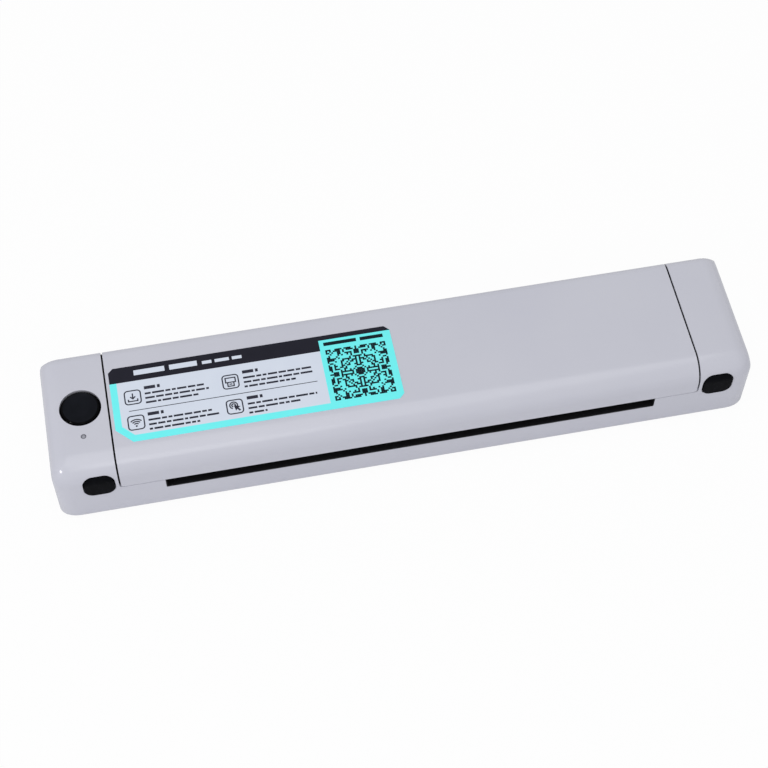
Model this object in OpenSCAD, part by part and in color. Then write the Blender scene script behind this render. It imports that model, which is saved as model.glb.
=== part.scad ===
// Portable thermal printer for A4 sheets: a long slim casing with an end housing on each side,
// a rear-hinged cover that carries the rubber feed roller, and a thermal head in the base.
// X runs along the length, -Y is the front where the paper comes out, +Z is up.
// The origin lies on the resting plane, under the middle of the casing.

/* [Paper] */
// Width of the widest sheet, which sets the printer's length
paper_w = 216; // [200:1:230]
// Free space beside the sheet, both sides together
paper_play = 2.3; // [1.5:0.1:4]
// Height of the paper slots' floor above the casing's bottom
slot_z = 13.5; // [13.5:0.25:15]
// Height of the paper slots
slot_h = 6.15; // [6.15:0.05:7]
// Height of the paper ribs on the guides
rib_h = 1.6; // [1:0.1:1.6]
// Width of one paper rib
rib_w = 1.2; // [0.8:0.1:2]
// Distance from one paper rib to the next
rib_pitch = 12; // [9:0.5:18]

/* [Casing] */
// Wall thickness of the casing and the cover
wall = 1.8; // [1.4:0.1:2]
// Radius of the front top edge
front_r = 10.5; // [8:0.5:11]
// Radius of the rear top edge
rear_r = 5; // [3:0.5:5.5]
// Radius of the bottom edges
bottom_r = 2.25; // [1:0.25:2.5]
// Length over which each end of the casing is rounded
end_round = 8.7; // [6:0.1:9]
// How far the rounding lowers the top at the end faces
end_drop = 8.7; // [6:0.1:9]
// How far the rounding draws the front in at the end faces
end_front = 5.7; // [4:0.1:6]
// How far the rounding draws the rear in at the end faces
end_rear = 3; // [2:0.1:4]
// Space in the left end housing beside the power button
left_space = 7.1; // [7:0.1:12]
// Space in the right end housing beside the motor
right_space = 7.15; // [7:0.05:12]
// Thickness of the end housings' inner side walls
pod_wall = 1.2; // [1:0.1:1.2]

/* [Bottom] */
// Thickness of the bottom cover
plate_t = 2.2; // [2:0.1:2.6]
// Width of the casing's rim round the bottom cover
rim_w = 3; // [2.6:0.1:3.6]
// Gap between the rim and the bottom cover
plate_gap = 0.2; // [0.1:0.05:0.4]
// Height that the feet stand below the casing
foot_h = 1.5; // [1:0.1:2.5]
// Diameter of the rubber feet
foot_d = 10; // [8:0.5:12]
// Depth of the recess that each foot is stuck in
foot_recess = 0.6; // [0.4:0.1:0.8]

/* [Cover] */
// Gap between the cover's sides and the end housings
side_seam = 0.8; // [0.5:0.1:1]
// Gap between the cover's front edge and the front wall
front_seam = 0.35; // [0.3:0.05:0.6]
// Radius of the cover's two front lower corners
cover_corner_r = 1.25; // [1:0.25:3]
// Distance of the hinge axis from the rear face
hinge_in = 6; // [5:0.25:7]
// Distance of the hinge axis below the top face
hinge_down = 9.5; // [8.5:0.25:10.5]
// Diameter of the hinge pins
hinge_pin_d = 3; // [2.5:0.25:3.5]

/* [Feed roller] */
// Diameter of the rubber feed roller
roller_d = 12; // [11:0.25:12.5]
// Distance from each end of the feed roller to the slots' end
roller_end = 0.65; // [0.5:0.05:3]
// Distance of the roller's axis from the front face
roller_in = 17; // [16.75:0.25:18]
// Height of the paper line above the slots' floor
nip_h = 3.5; // [3.25:0.05:4]
// Diameter of the roller's steel shaft
shaft_d = 5; // [4:0.25:5.5]
// Outer diameter of the roller's bushes
bush_d = 8; // [7:0.25:8.5]

/* [Thermal head] */
// Width of the head's aluminium heat sink
sink_w = 16; // [14:0.25:16.5]
// Thickness of the heat sink
sink_t = 4; // [3:0.25:4.25]
// Width of the ceramic strip on the heat sink
ceramic_w = 10; // [8:0.25:12]
// Thickness of the ceramic strip
ceramic_t = 1; // [0.8:0.1:1.2]
// Gap between the roller and the ceramic strip
nip_gap = 0.3; // [0.2:0.05:0.5]
// Diameter of the rod that the head rocks on
rod_d = 3; // [2.5:0.25:3.25]

/* [Drive] */
// Module of the gears, which is pitch diameter over teeth
gear_m = 0.6; // [0.5:0.02:0.62]
// Teeth of the gear on the roller
roller_teeth = 24; // [22:1:25]
// Teeth of the idler gear
idler_teeth = 20; // [18:1:21]
// Teeth of the double gear's small wheel
small_teeth = 14; // [13:1:16]
// Teeth of the double gear's large wheel
large_teeth = 30; // [26:1:31]
// Teeth of the motor's pinion
pinion_teeth = 12; // [12:1:14]
// Width of the gears
gear_w = 4; // [3:0.25:4]
// Play between meshing teeth, measured along the pitch circle
backlash = 0.18; // [0.14:0.01:0.24]
// Diameter of the stepper motor
motor_d = 20; // [16:0.5:20]
// Length of the stepper motor's can
motor_l = 16; // [12:0.5:16.5]

/* [Controls] */
// Diameter of the power button's hole
power_hole_d = 18.2; // [16:0.1:18.4]
// Distance from the power button's hole to the cover's gap
power_margin = 2.4; // [2.2:0.1:6]
// Distance of the power button's centre behind the casing's middle line
power_y = 1.8; // [0:0.1:4]
// Depth that the power button travels
power_travel = 0.5; // [0.3:0.05:0.6]
// Distance of the indicator light in front of the power button's centre
led_ahead = 14.6; // [13:0.1:16]
// Diameter of the indicator light
led_d = 2.3; // [1.5:0.1:3]
// Width of each release button's hole
release_w = 13.9; // [12:0.1:14.5]
// Height of each release button's hole
release_h = 13.2; // [11:0.1:13.6]
// Corner radius of the release buttons' holes
release_r = 4.5; // [3:0.25:5]
// Height of the release buttons' centres above the casing's bottom
release_z = 23.4; // [22.5:0.1:24]
// Distance from each release button's hole to the cover's gap
release_margin = 1.4; // [1.3:0.05:2.5]
// Depth that the release buttons travel
release_travel = 2; // [1:0.1:2]
// Gap round every button in its hole
button_gap = 0.45; // [0.3:0.05:0.6]

/* [Battery] */
// Width of the battery pack, which sets the printer's depth
battery_w = 24; // [23:0.5:30]
// Thickness of the battery pack
battery_h = 8; // [6:0.5:9]

/* [Label] */
// Length of the printed film label on the cover
label_l = 124.9; // [100:0.1:130]
// Distance from the label's left edge to the cover's left side
label_in = 1.4; // [0.8:0.1:20]
// Distance from the label's front edge to the front top edge's radius
label_front = 0.9; // [0.4:0.1:4]
// Distance from the label's rear edge to the rear top edge's radius
label_rear = 7; // [1:0.1:10]
// Thickness of the label's film
label_t = 0.15; // [0.1:0.05:0.3]

/* [Hidden] */
$fn = 64;

// Running gap of a shaft in its hole, and gap of parts that lie close to each other
run = 0.05;
near = 0.3;
over = 1;

// Sheet metal, moulded brackets and gaps of the print mechanism, from the slot outwards
slot_w = paper_w + paper_play;
frame_t = 1.2;
frame_out = 1.9;
bracket_gap = 0.5;
bracket_t = 2;
gear_gap = 1.3;
large_w = gear_w * 0.65;
gear_end_room = 2.275;
mechanism_w = frame_out + frame_t + bracket_gap + bracket_t + 2 * gear_gap + gear_w + large_w + gear_end_room;

// Length: the slot, the mechanism and the cover's wall on each side of it, and the end housings
left_pod = power_margin + power_hole_d + left_space;
right_pod = pod_wall + near + motor_l + right_space;
body_l = slot_w + 2 * (mechanism_w + wall + side_seam) + left_pod + right_pod;

// Depth: from the front face past the roller, the head, its rod and the side frames to the battery
rod_gap = 1;
frame_behind = 3.4;
battery_ahead = 3.3;
rear_room = 2;
head_behind = sink_w / 2 + rod_gap + rod_d / 2 + frame_behind;
body_d = roller_in + head_behind + battery_ahead + battery_w + rear_room + wall;

// Height: from the bottom to the paper, and on past the roller and the cover's inner frame
liner_t = 1.6;
recess_over = 0.9;
top_room = 2.7;
body_h = slot_z + nip_h + roller_d + recess_over + liner_t + top_room + wall;

// Levels and faces of the casing
x_end = body_l / 2;
y_front = -body_d / 2;
y_rear = body_d / 2;
z_low = foot_h;
z_top = foot_h + body_h;
z_floor = z_low + plate_t;
pod_l = -x_end + left_pod;
pod_r = x_end - right_pod;
cover_l = pod_l + side_seam;
cover_r = pod_r - side_seam;
mid_x = (cover_l + cover_r) / 2;
slot_l = mid_x - slot_w / 2;
slot_r = mid_x + slot_w / 2;
slot_low = z_low + slot_z;
slot_over = 0.25;
slot_corner_r = 0.5;
slot_top = slot_low + slot_h;
cover_low = slot_top + slot_over;
front_wall_top = cover_low - front_seam;

// Hinge axis, and the top of the rear wall that the cover's rear edge swings over
hinge_y = y_rear - hinge_in;
hinge_z = z_top - hinge_down;
swing_r = sqrt(pow(hinge_in, 2) + pow(hinge_z - cover_low, 2));
rear_wall_top = hinge_z - sqrt(pow(swing_r, 2) - pow(hinge_in - wall, 2)) - 0.4;
hinge_pin_l = 8;
hinge_boss_d = hinge_pin_d + 3.6;
hinge_boss_l = 4;

// Feed roller and thermal head
roller_y = y_front + roller_in;
nip_z = slot_low + nip_h;
roller_z = nip_z + roller_d / 2;
ceramic_top = nip_z - nip_gap;
sink_top = ceramic_top - ceramic_t;
sink_low = sink_top - sink_t;
sink_front = roller_y - sink_w / 2;
sink_rear = roller_y + sink_w / 2;
rod_y = sink_rear + rod_d / 2 + rod_gap;
ear_d = rod_d + 2.4;
rod_z = sink_low - ear_d / 2 - 0.2;

// Side frames, which stand just outside the paper's path
frame_l = slot_l - frame_out;
frame_r = slot_r + frame_out;
frame_foot = 7;
foot_ys = [y_front + 9.5, rod_y - 0.5];
foot_half = 3;
frame_rear = rod_y + frame_behind;
frame_front = y_front + wall + 4.6;
horn_side = 2.4;
horn_gap = 0.6;
horn_top = roller_z + 2.5;
bush_flange_d = bush_d + 2;
bush_flange_t = 0.8;
bracket_l = frame_l - frame_t - bracket_gap;
bracket_r = frame_r + frame_t + bracket_gap;

// Gear train, from the roller to the motor
roller_pr = gear_m * roller_teeth / 2;
idler_pr = gear_m * idler_teeth / 2;
small_pr = gear_m * small_teeth / 2;
large_pr = gear_m * large_teeth / 2;
pinion_pr = gear_m * pinion_teeth / 2;
idler_y = roller_y;
idler_z = roller_z - roller_pr - idler_pr;
double_turn = 20;
double_y = idler_y + (idler_pr + small_pr) * cos(double_turn);
double_z = idler_z + (idler_pr + small_pr) * sin(double_turn);
motor_turn = 5;
motor_y = double_y + (large_pr + pinion_pr) * cos(motor_turn);
motor_z = double_z + (large_pr + pinion_pr) * sin(motor_turn);
gear_x = bracket_r + bracket_t + gear_gap;
large_x = gear_x + gear_w + gear_gap;
stud_d = 3;
motor_x = pod_r + pod_wall + near;
motor_shaft_d = 2;

// Paper guides
guide_t = 1.5;
guide_gap = 0.4;
rear_guide_front = rod_y + ear_d / 2 + 0.6;
guide_l = slot_l - 1.4;
guide_r = slot_r + 1.4;
lining_t = 0.8;
lining_side_t = 0.45;
lining_in = 0.1;
liner_low = cover_low + 1;
liner_rib = 0.8;
recess_gap = 0.4;
liner_front = y_front + wall + guide_gap;
recess_front = roller_y - roller_d / 2 - recess_gap;
recess_rear = roller_y + roller_d / 2 + recess_gap;
recess_top = roller_z + roller_d / 2 + recess_over;
liner_rear = hinge_y + 1.5;

// Screws and their bosses
screw_d = 2.4;
screw_head_d = 4.6;
screw_head_h = 1.1;
screw_l = 7;
boss_d = 6;
corner_in = 9.5;
front_boss_in = 9;
rear_boss_y = motor_y + motor_d / 2 + boss_d / 2 + 0.863;

// Power button, indicator light and their board
power_x = pod_l - power_margin - power_hole_d / 2;
power_proud = 0.25;
power_flange_d = power_hole_d + 1.6;
power_flange_t = 1;
led_y = power_y - led_ahead;
board_top = z_top - wall - 7.4;
board_t = 1.2;
switch_h = 3.4;

// Release buttons
release_xs = [pod_l - release_margin - release_w / 2, pod_r + release_margin + release_w / 2];
release_mid = z_low + release_z;
release_proud = 0.5;
stem_w = 7;
stem_h = 6;
stem_mid = board_top - board_t - 0.7 - stem_h / 2;
stem_end = y_front + 17;
spring_l = 8;
lip_out = 0.9;
lip_t = 1.5;
leg_w = 4;
latch_y = y_front + 13.3;
latch_w = 2.6;
latch_low = slot_low - 0.2;
latch_h = 2;
hook_front = y_front + 6;
hook_w = 5;
barb = 2;
hook_low = latch_low - 2.3;

// Paper sensor, under the rear guide
sensor_w = 6;
sensor_d = 5;
sensor_x = mid_x - 17;
sensor_y = rear_guide_front + 7.5;

// Electronics and battery
pcb_t = 1.6;
pcb_z = z_floor + 2;
pcb_l = -x_end + 8;
pcb_r = mid_x - 12;
pcb_front = frame_rear + 0.6;
pcb_rear = y_rear - wall - rear_room;
pcb_neck = rear_boss_y - boss_d / 2 - 0.6;
usb_y = (pcb_front + pcb_neck) / 2;
usb_w = 8.94;
usb_h = 3.2;
usb_l = 7.3;
flex_w = 30;
flex_t = 0.3;
flex_r = pcb_r - 6;
plug_in = 0.6;
plug_d = 2;
plug_h = 1.6;
battery_end_room = 9.15;
battery_x = mid_x + 4;
battery_l = slot_r - battery_end_room - battery_x;
battery_y = pcb_rear - battery_w;

// Posts, cups and low walls on the bottom cover
board_post_d = 4.4;
cup_d = 7;
cup_t = 1;
cup_h = 1;
fence_t = 1.5;
fence_h = 3;

// Spring measures: mean radius, wire radius and curls
head_spring = [2.6, 0.4, 5];
release_spring = [2.2, 0.35, 4];
head_spring_xs = [for (s = [-1 : 1]) mid_x + s * 0.33 * slot_w];

// Outlines and placing

// Extrudes an outline drawn in Y and Z between two places along X
module x_extrude(x0, x1) {
    translate([x0, 0, 0]) rotate([90, 0, 90]) linear_extrude(x1 - x0) children();
}

// Extrudes an outline drawn in X and Z between two places along Y
module y_extrude(y0, y1) {
    translate([0, y1, 0]) rotate([90, 0, 0]) linear_extrude(y1 - y0) children();
}

// Extrudes an outline drawn in X and Y between two heights
module z_extrude(z0, z1) {
    translate([0, 0, z0]) linear_extrude(z1 - z0) children();
}

// A round bar along X
module x_rod(x0, x1, y, z, d) {
    translate([x0, y, z]) rotate([0, 90, 0]) cylinder(h = x1 - x0, d = d);
}

// A round bar along Z
module z_rod(x, y, z0, z1, d) {
    translate([x, y, z0]) cylinder(h = z1 - z0, d = d);
}

module rect(u0, v0, u1, v1) {
    translate([u0, v0]) square([u1 - u0, v1 - v0]);
}

module box(x0, y0, z0, x1, y1, z1) {
    translate([x0, y0, z0]) cube([x1 - x0, y1 - y0, z1 - z0]);
}

// What a radius takes off a corner at u, v. The signs point from the corner into the outline.
module corner_waste(u, v, r, su, sv) {
    translate([u + su * r, v + sv * r]) difference() {
        translate([su > 0 ? -r - over : 0, sv > 0 ? -r - over : 0]) square(r + over);
        circle(r);
    }
}

module round_rect(u0, v0, u1, v1, r) {
    difference() {
        rect(u0, v0, u1, v1);
        corner_waste(u0, v0, r, 1, 1);
        corner_waste(u1, v0, r, -1, 1);
        corner_waste(u0, v1, r, 1, -1);
        corner_waste(u1, v1, r, -1, -1);
    }
}

// Cross-section of the casing in Y and Z, drawn in by inset, with its floor at low
module casing_section(inset = 0, low = z_low, low_r = bottom_r) {
    y0 = y_front + inset;
    y1 = y_rear - inset;
    z1 = z_top - inset;
    difference() {
        rect(y0, low, y1, z1);
        corner_waste(y0, z1, max(front_r - inset, 0.4), 1, -1);
        corner_waste(y1, z1, max(rear_r - inset, 0.4), -1, -1);
        corner_waste(y0, low, low_r, 1, 1);
        corner_waste(y1, low, low_r, -1, 1);
    }
}

// Points on an elliptical arc about a centre, from one angle to another
function arc_points(cy, cz, ry, rz, from, to, steps) =
    [for (i = [0 : steps]) let (a = from + (to - from) * i / steps) [cy + ry * cos(a), cz + rz * sin(a)]];

// Lift of the underside at a distance from the end face, which rounds the end's bottom edge
function end_lift(away) =
    bottom_r - sqrt(pow(bottom_r, 2) - pow(max(bottom_r - away, 0), 2));

// Points round the casing's section near an end, at a turn from 0 to 90 round the end's rounding
function section_points(turn) =
    let (
        shrink = 1 - cos(turn),
        least = 0.3,
        y0 = y_front + end_front * shrink,
        y1 = y_rear - end_rear * shrink,
        z0 = z_low + end_lift(end_round * (1 - sin(turn))),
        z1 = z_top - end_drop * shrink,
        fy = max(front_r - end_front * shrink, least),
        fz = max(front_r - end_drop * shrink, least),
        ry = max(rear_r - end_rear * shrink, least),
        rz = max(rear_r - end_drop * shrink, least),
        br = max(bottom_r + z_low - z0, least)
    )
    concat(
        arc_points(y1 - ry, z1 - rz, ry, rz, 0, 90, 8),
        arc_points(y0 + fy, z1 - fz, fy, fz, 90, 180, 14),
        arc_points(y0 + br, z0 + br, br, br, 180, 270, 4),
        arc_points(y1 - br, z0 + br, br, br, 270, 360, 4)
    );

// One section near an end, at a turn round the end's rounding
function end_ring(side, turn) =
    let (x = side * (x_end - end_round * (1 - sin(turn))))
    [for (p = section_points(turn)) [x, p[0], p[1]]];

// The casing's outer form: its sections skinned from end to end
module casing_form() {
    turns = [0 : 15 : 90];
    rings = concat([for (a = turns) end_ring(-1, 90 - a)], [for (a = turns) end_ring(1, a)]);
    n = len(rings[0]);
    last = len(rings) - 1;
    sides = [for (k = [0 : last - 1], j = [0 : n - 1])
        let (a = k * n + j, b = k * n + (j + 1) % n)
        each [[a, b + n, b], [a, a + n, b + n]]];
    ends = [[for (j = [0 : n - 1]) j], [for (j = [n - 1 : -1 : 0]) last * n + j]];
    polyhedron([for (r = rings) each r], concat(sides, ends), convexity = 6);
}

// The casing's inner space
module casing_space() {
    // Radii that keep the wall whole where three rounded faces meet
    plan_r = end_round + 0.3;
    top_r = end_round + 2.8;
    intersection() {
        x_extrude(-x_end + wall, x_end - wall) casing_section(wall, z_floor, 0.4);
        z_extrude(0, z_top) round_rect(-x_end + wall, y_front + wall, x_end - wall, y_rear - wall, plan_r);
        y_extrude(y_front, y_rear) difference() {
            rect(-x_end + wall, 0, x_end - wall, z_top - wall);
            corner_waste(-x_end + wall, z_top - wall, top_r, 1, -1);
            corner_waste(x_end - wall, z_top - wall, top_r, -1, -1);
        }
    }
}

// Plan of the opening in the casing's bottom, drawn in by a gap
module bottom_plan(gap = 0) {
    e = rim_w + gap;
    round_rect(-x_end + e, y_front + e, x_end - e, y_rear - e, end_round - rim_w - gap);
}

// Screws that hold the bottom cover: into the casing's corners and into the inner parts
case_bosses = [
    for (sx = [-1, 1], y = [y_front + front_boss_in, rear_boss_y]) [sx * (x_end - corner_in), y]
];
guide_boss_dx = 0.284 * slot_w;
front_boss_y = y_front + wall + 4.4;
guide_bosses = [
    for (sx = [-1, 1]) [mid_x + sx * guide_boss_dx, front_boss_y]
];
rear_bosses = [
    [pcb_r + 6, battery_y + 3], [pcb_r + 6, battery_y + battery_w - 3],
    [battery_x + battery_l + 5.5, battery_y + battery_w / 2]
];
frame_bosses = [
    for (y = foot_ys) for (x = [frame_l - frame_foot / 2, frame_r + frame_foot / 2]) [x, y]
];
long_screws = concat(case_bosses, guide_bosses, rear_bosses);
all_screws = concat(long_screws, frame_bosses);

module housing() {
    color("#c3c4cf") difference() {
        union() {
            difference() {
                casing_form();
                casing_space();
                z_extrude(0, z_floor + 0.01) bottom_plan();
            }
            for (x = [pod_l - pod_wall, pod_r])
                x_extrude(x, x + pod_wall) casing_section(wall / 2, z_floor + near, 0.4);
            intersection() {
                for (b = case_bosses) z_rod(b[0], b[1], z_floor, z_top, boss_d);
                x_extrude(-x_end, x_end) casing_section(wall / 2, z_floor, 0.4);
            }
            hinge_bosses();
            release_spring_seats();
            button_board_posts();
        }
        // Room for the cover, with rounded front corners, and the lower rear wall behind it
        y_extrude(y_front - over, y_front + wall) round_rect(pod_l, front_wall_top, pod_r,
            z_top + 2 * cover_corner_r + over, cover_corner_r + side_seam / 2);
        box(pod_l, y_front + wall - near / 2, front_wall_top, pod_r, y_rear + over, z_top + over);
        box(pod_l, hinge_y - hinge_in, rear_wall_top, pod_r, y_rear + over, z_top + over);
        // Paper slots in the front and rear walls
        y_extrude(y_front - over, y_front + wall + over)
            round_rect(slot_l, slot_low, slot_r, z_top, slot_corner_r);
        y_extrude(y_rear - wall - over, y_rear + over)
            round_rect(slot_l, slot_low, slot_r, z_top, slot_corner_r);
        // Holes for the buttons, the light and the charging socket
        z_rod(power_x, power_y, z_top - wall - over, z_top + over, power_hole_d);
        z_rod(power_x, led_y, z_top - wall - over, z_top + over, led_d + 0.1);
        z_rod(power_x, power_y, board_top, z_top - wall, power_flange_d + 2 * near);
        for (x = release_xs) y_extrude(y_front - over, y_front + 6) release_outline(x, 0);
        usb_hole();
        // Screw holes
        for (b = case_bosses) z_rod(b[0], b[1], z_floor - over, z_floor + 9, screw_d - 0.3);
        // Holes for the hinge pins
        hinge_pin(-1, 0.02);
        hinge_pin(1, 0.02);
        // Slots for the latch arms, and holes for the motor's nose and the board
        for (x = [pod_l - pod_wall, pod_r])
            box(x - over, latch_y - 0.4, latch_low - 0.4, x + pod_wall + over,
                latch_y + latch_w + release_travel + 0.5, latch_low + latch_h + 0.4);
        x_rod(pod_r - over, pod_r + pod_wall + over, motor_y, motor_z, motor_nose_d + 1);
        for (s = [-1, 1])
            x_rod(pod_r - over, pod_r + pod_wall + over, motor_y + s * motor_ear, motor_z,
                motor_screw_d + 0.06);
        box(pod_l - pod_wall - over, pcb_front - 1, 0, pod_l + over, pcb_neck + 1, pcb_z + pcb_t + 3.5);
    }
}

// Bosses inside the end housings that hold the hinge pins
module hinge_bosses() {
    x_rod(pod_l - hinge_pin_l + 1.5, pod_l - pod_wall / 2, hinge_y, hinge_z, hinge_boss_d);
    x_rod(pod_r + pod_wall / 2, pod_r + hinge_pin_l - 1.5, hinge_y, hinge_z, hinge_boss_d);
}

// One hinge pin, from inside an end housing into the cover's side
module hinge_pin(side, gap) {
    face = side < 0 ? pod_l : pod_r;
    inner = side < 0 ? face - hinge_pin_l + 2.5 : face - side_seam - hinge_boss_l + 0.5;
    outer = side < 0 ? face + side_seam + hinge_boss_l - 0.5 : face + hinge_pin_l - 2.5;
    x_rod(inner, outer, hinge_y, hinge_z, hinge_pin_d + 2 * gap);
}

module hinge_pins() {
    color("silver") {
        hinge_pin(-1, 0);
        hinge_pin(1, 0);
    }
}

module usb_hole() {
    z = pcb_z + pcb_t + usb_h / 2;
    gap = 0.3;
    x_extrude(-x_end - over, -x_end + wall + over)
        round_rect(usb_y - usb_w / 2 - gap, z - usb_h / 2 - gap, usb_y + usb_w / 2 + gap,
            z + usb_h / 2 + gap, 1.5);
}

module bottom_cover() {
    color("#b4b5c0") difference() {
        union() {
            z_extrude(z_low, z_floor) bottom_plan(plate_gap);
            for (b = board_posts) z_rod(b[0], b[1], z_floor - 0.5, pcb_z, board_post_d);
            for (x = head_spring_xs) spring_cup(x);
            battery_fence();
        }
        for (b = all_screws) {
            z_rod(b[0], b[1], z_low - over, z_floor + over, screw_d + 0.3);
            z_rod(b[0], b[1], z_low - over, z_low + screw_head_h + 0.1, screw_head_d + 0.6);
        }
        for (b = board_posts) z_rod(b[0], b[1], z_low + 1, pcb_z + over, 1.4);
        for (f = foot_places) z_rod(f[0], f[1], z_low - over, z_low + foot_recess, foot_d + 0.2);
    }
}

// Cup that keeps a head spring in place
module spring_cup(x) {
    difference() {
        z_rod(x, roller_y, z_floor - 0.5, z_floor + cup_h, cup_d + 2 * cup_t);
        z_rod(x, roller_y, z_floor, z_floor + cup_h + over, cup_d);
    }
}

// Low walls that the battery lies between
module battery_fence() {
    out = near + fence_t;
    top = z_floor + fence_h;
    for (x = [battery_x - out, battery_x + battery_l + near])
        box(x, battery_y, z_floor - 0.5, x + fence_t, battery_y + battery_w, top);
    box(battery_x, battery_y - out, z_floor - 0.5, battery_x + battery_l, battery_y - near, top);
}

foot_in = [20, 11];
foot_places = [
    for (sx = [-1, 1], sy = [-1, 1]) [sx * (x_end - foot_in[0]), sy * (y_rear - foot_in[1])]
];

module rubber_feet() {
    color("#202022") for (f = foot_places) translate([f[0], f[1], 0]) rotate_extrude() {
        difference() {
            rect(0, 0, foot_d / 2, foot_h + foot_recess);
            corner_waste(foot_d / 2, 0, 0.6, -1, 1);
        }
    }
}

// A pan-head screw that points up from z
module screw_up(x, y, z, length) {
    difference() {
        union() {
            z_rod(x, y, z, z + screw_head_h, screw_head_d);
            z_rod(x, y, z, z + length, screw_d - 0.4);
        }
        for (turn = [0, 90]) translate([x, y, z]) rotate(turn) cube([2.4, 0.6, 1.2], center = true);
    }
}

module case_screws() {
    color("silver") {
        for (b = long_screws) screw_up(b[0], b[1], z_low + 0.1, screw_l);
        for (b = frame_bosses) screw_up(b[0], b[1], z_low + 0.1, plate_t + frame_t + 0.7);
    }
}

// Side frames of the print mechanism

module side_frame_outline() {
    slot_half = shaft_d / 2 + horn_gap;
    difference() {
        union() {
            rect(frame_front, z_floor, frame_rear, slot_low - 0.6);
            rect(roller_y - slot_half - horn_side, z_floor, roller_y + slot_half + horn_side, horn_top);
        }
        // Slot for the roller's shaft
        translate([roller_y, roller_z]) circle(d = shaft_d + 2 * horn_gap);
        rect(roller_y - slot_half, roller_z, roller_y + slot_half, horn_top + over);
        translate([rod_y, rod_z]) circle(d = rod_d + 0.04);
        // Lightening hole below the roller
        translate([roller_y + 2.5, z_floor + 4]) circle(d = 4);
    }
}

// A side frame whose foot points outwards, to the given side
module side_frame(x, side) {
    outer = side < 0 ? x - frame_foot : x;
    difference() {
        union() {
            x_extrude(side < 0 ? x - frame_t : x, side < 0 ? x : x + frame_t) side_frame_outline();
            for (y = foot_ys)
                box(outer, y - foot_half, z_floor, outer + frame_foot, y + foot_half, z_floor + frame_t);
        }
        for (y = foot_ys)
            z_rod(x + side * frame_foot / 2, y, 0, z_floor + 2 * frame_t, screw_d - 0.36);
    }
}

module side_frame_left() {
    color("silver") side_frame(frame_l, -1);
}

module side_frame_right() {
    color("silver") side_frame(frame_r, 1);
}

// Pins on the right side frame that the idler and the double gear turn on
module gear_studs() {
    color("silver") {
        stud(idler_y, idler_z, gear_x + gear_w);
        stud(double_y, double_z, large_x + large_w);
    }
}

module stud(y, z, end) {
    x0 = frame_r + frame_t;
    x_rod(x0, end + 0.9, y, z, stud_d);
    x_rod(x0, gear_x - 0.15, y, z, stud_d + 1.8);
    x_rod(end + 0.15, end + 0.65, y, z, stud_d + 2);
}

// Paper guides

rib_xs = [for (x = [-slot_w / 2 + rib_pitch / 2 : rib_pitch : slot_w / 2 - rib_w]) mid_x + x];

// A paper rib with sloping ends, along Y
module guide_rib(x, y0, y1) {
    x_extrude(x - rib_w / 2, x + rib_w / 2) polygon([
        [y0, slot_low - 0.5], [y0, slot_low], [y0 + 1.5, slot_low + rib_h],
        [y1 - 1.5, slot_low + rib_h], [y1, slot_low], [y1, slot_low - 0.5]
    ]);
}

module front_guide() {
    y0 = y_front + wall + guide_gap;
    y1 = sink_front - 0.9;
    color("#1c1c1e") difference() {
        union() {
            box(guide_l, y0, slot_low - guide_t, guide_r, y1, slot_low);
            for (x = [guide_l, guide_r - guide_t]) box(x, y0, z_floor, x + guide_t, y1, slot_low);
            box(guide_l, y0, z_floor, guide_r, y0 + guide_t, slot_low);
            for (x = rib_xs) guide_rib(x, y0, y1);
            for (b = guide_bosses) z_rod(b[0], b[1], z_floor, slot_low - guide_t / 2, 4.6);
            slot_lining(y0 + guide_t);
        }
        for (b = guide_bosses) z_rod(b[0], b[1], z_floor - over, z_floor + 8, screw_d - 0.36);
    }
}

// Thin lips that line the front slot's floor and ends, out to the casing's face
module slot_lining(y1) {
    x0 = slot_l + run;
    x1 = slot_r - run;
    y_extrude(y_front + lining_in, y1) difference() {
        rect(x0, slot_low, x1, front_wall_top);
        corner_waste(x0, slot_low, slot_corner_r, 1, 1);
        corner_waste(x1, slot_low, slot_corner_r, -1, 1);
        rect(x0 + lining_side_t, slot_low + lining_t, x1 - lining_side_t, front_wall_top + over);
    }
}

module rear_guide() {
    y0 = rear_guide_front;
    y1 = y_rear - wall - guide_gap;
    color("#1c1c1e") difference() {
        union() {
            box(guide_l, y0, slot_low - guide_t, guide_r, y1, slot_low);
            box(guide_l, y1 - guide_t, z_floor, guide_r, y1, slot_low);
            box(guide_r - guide_t, y0, z_floor, guide_r, y1, slot_low);
            for (x = rib_xs) guide_rib(x, y0, y1);
            for (b = rear_bosses) z_rod(b[0], b[1], z_floor, slot_low - guide_t / 2, 5.2);
        }
        for (b = rear_bosses) z_rod(b[0], b[1], z_floor - over, z_floor + 8, screw_d - 0.36);
        // Window for the paper sensor
        box(sensor_x - sensor_w / 2 - near, sensor_y - sensor_d / 2 - near, slot_low - guide_t - over,
            sensor_x + sensor_w / 2 + near, sensor_y + sensor_d / 2 + near, slot_low + rib_h);
    }
}

module paper_sensor() {
    w = sensor_w / 2;
    d = sensor_d / 2;
    flange = 1.2;
    color("#26262a") {
        box(sensor_x - w, sensor_y - d, slot_low - guide_t - flange,
            sensor_x + w, sensor_y + d, slot_low - 0.2);
        box(sensor_x - w - 2, sensor_y - d - 1, slot_low - guide_t - flange,
            sensor_x + w + 2, sensor_y + d + 1, slot_low - guide_t);
    }
}

// Thermal head

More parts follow.
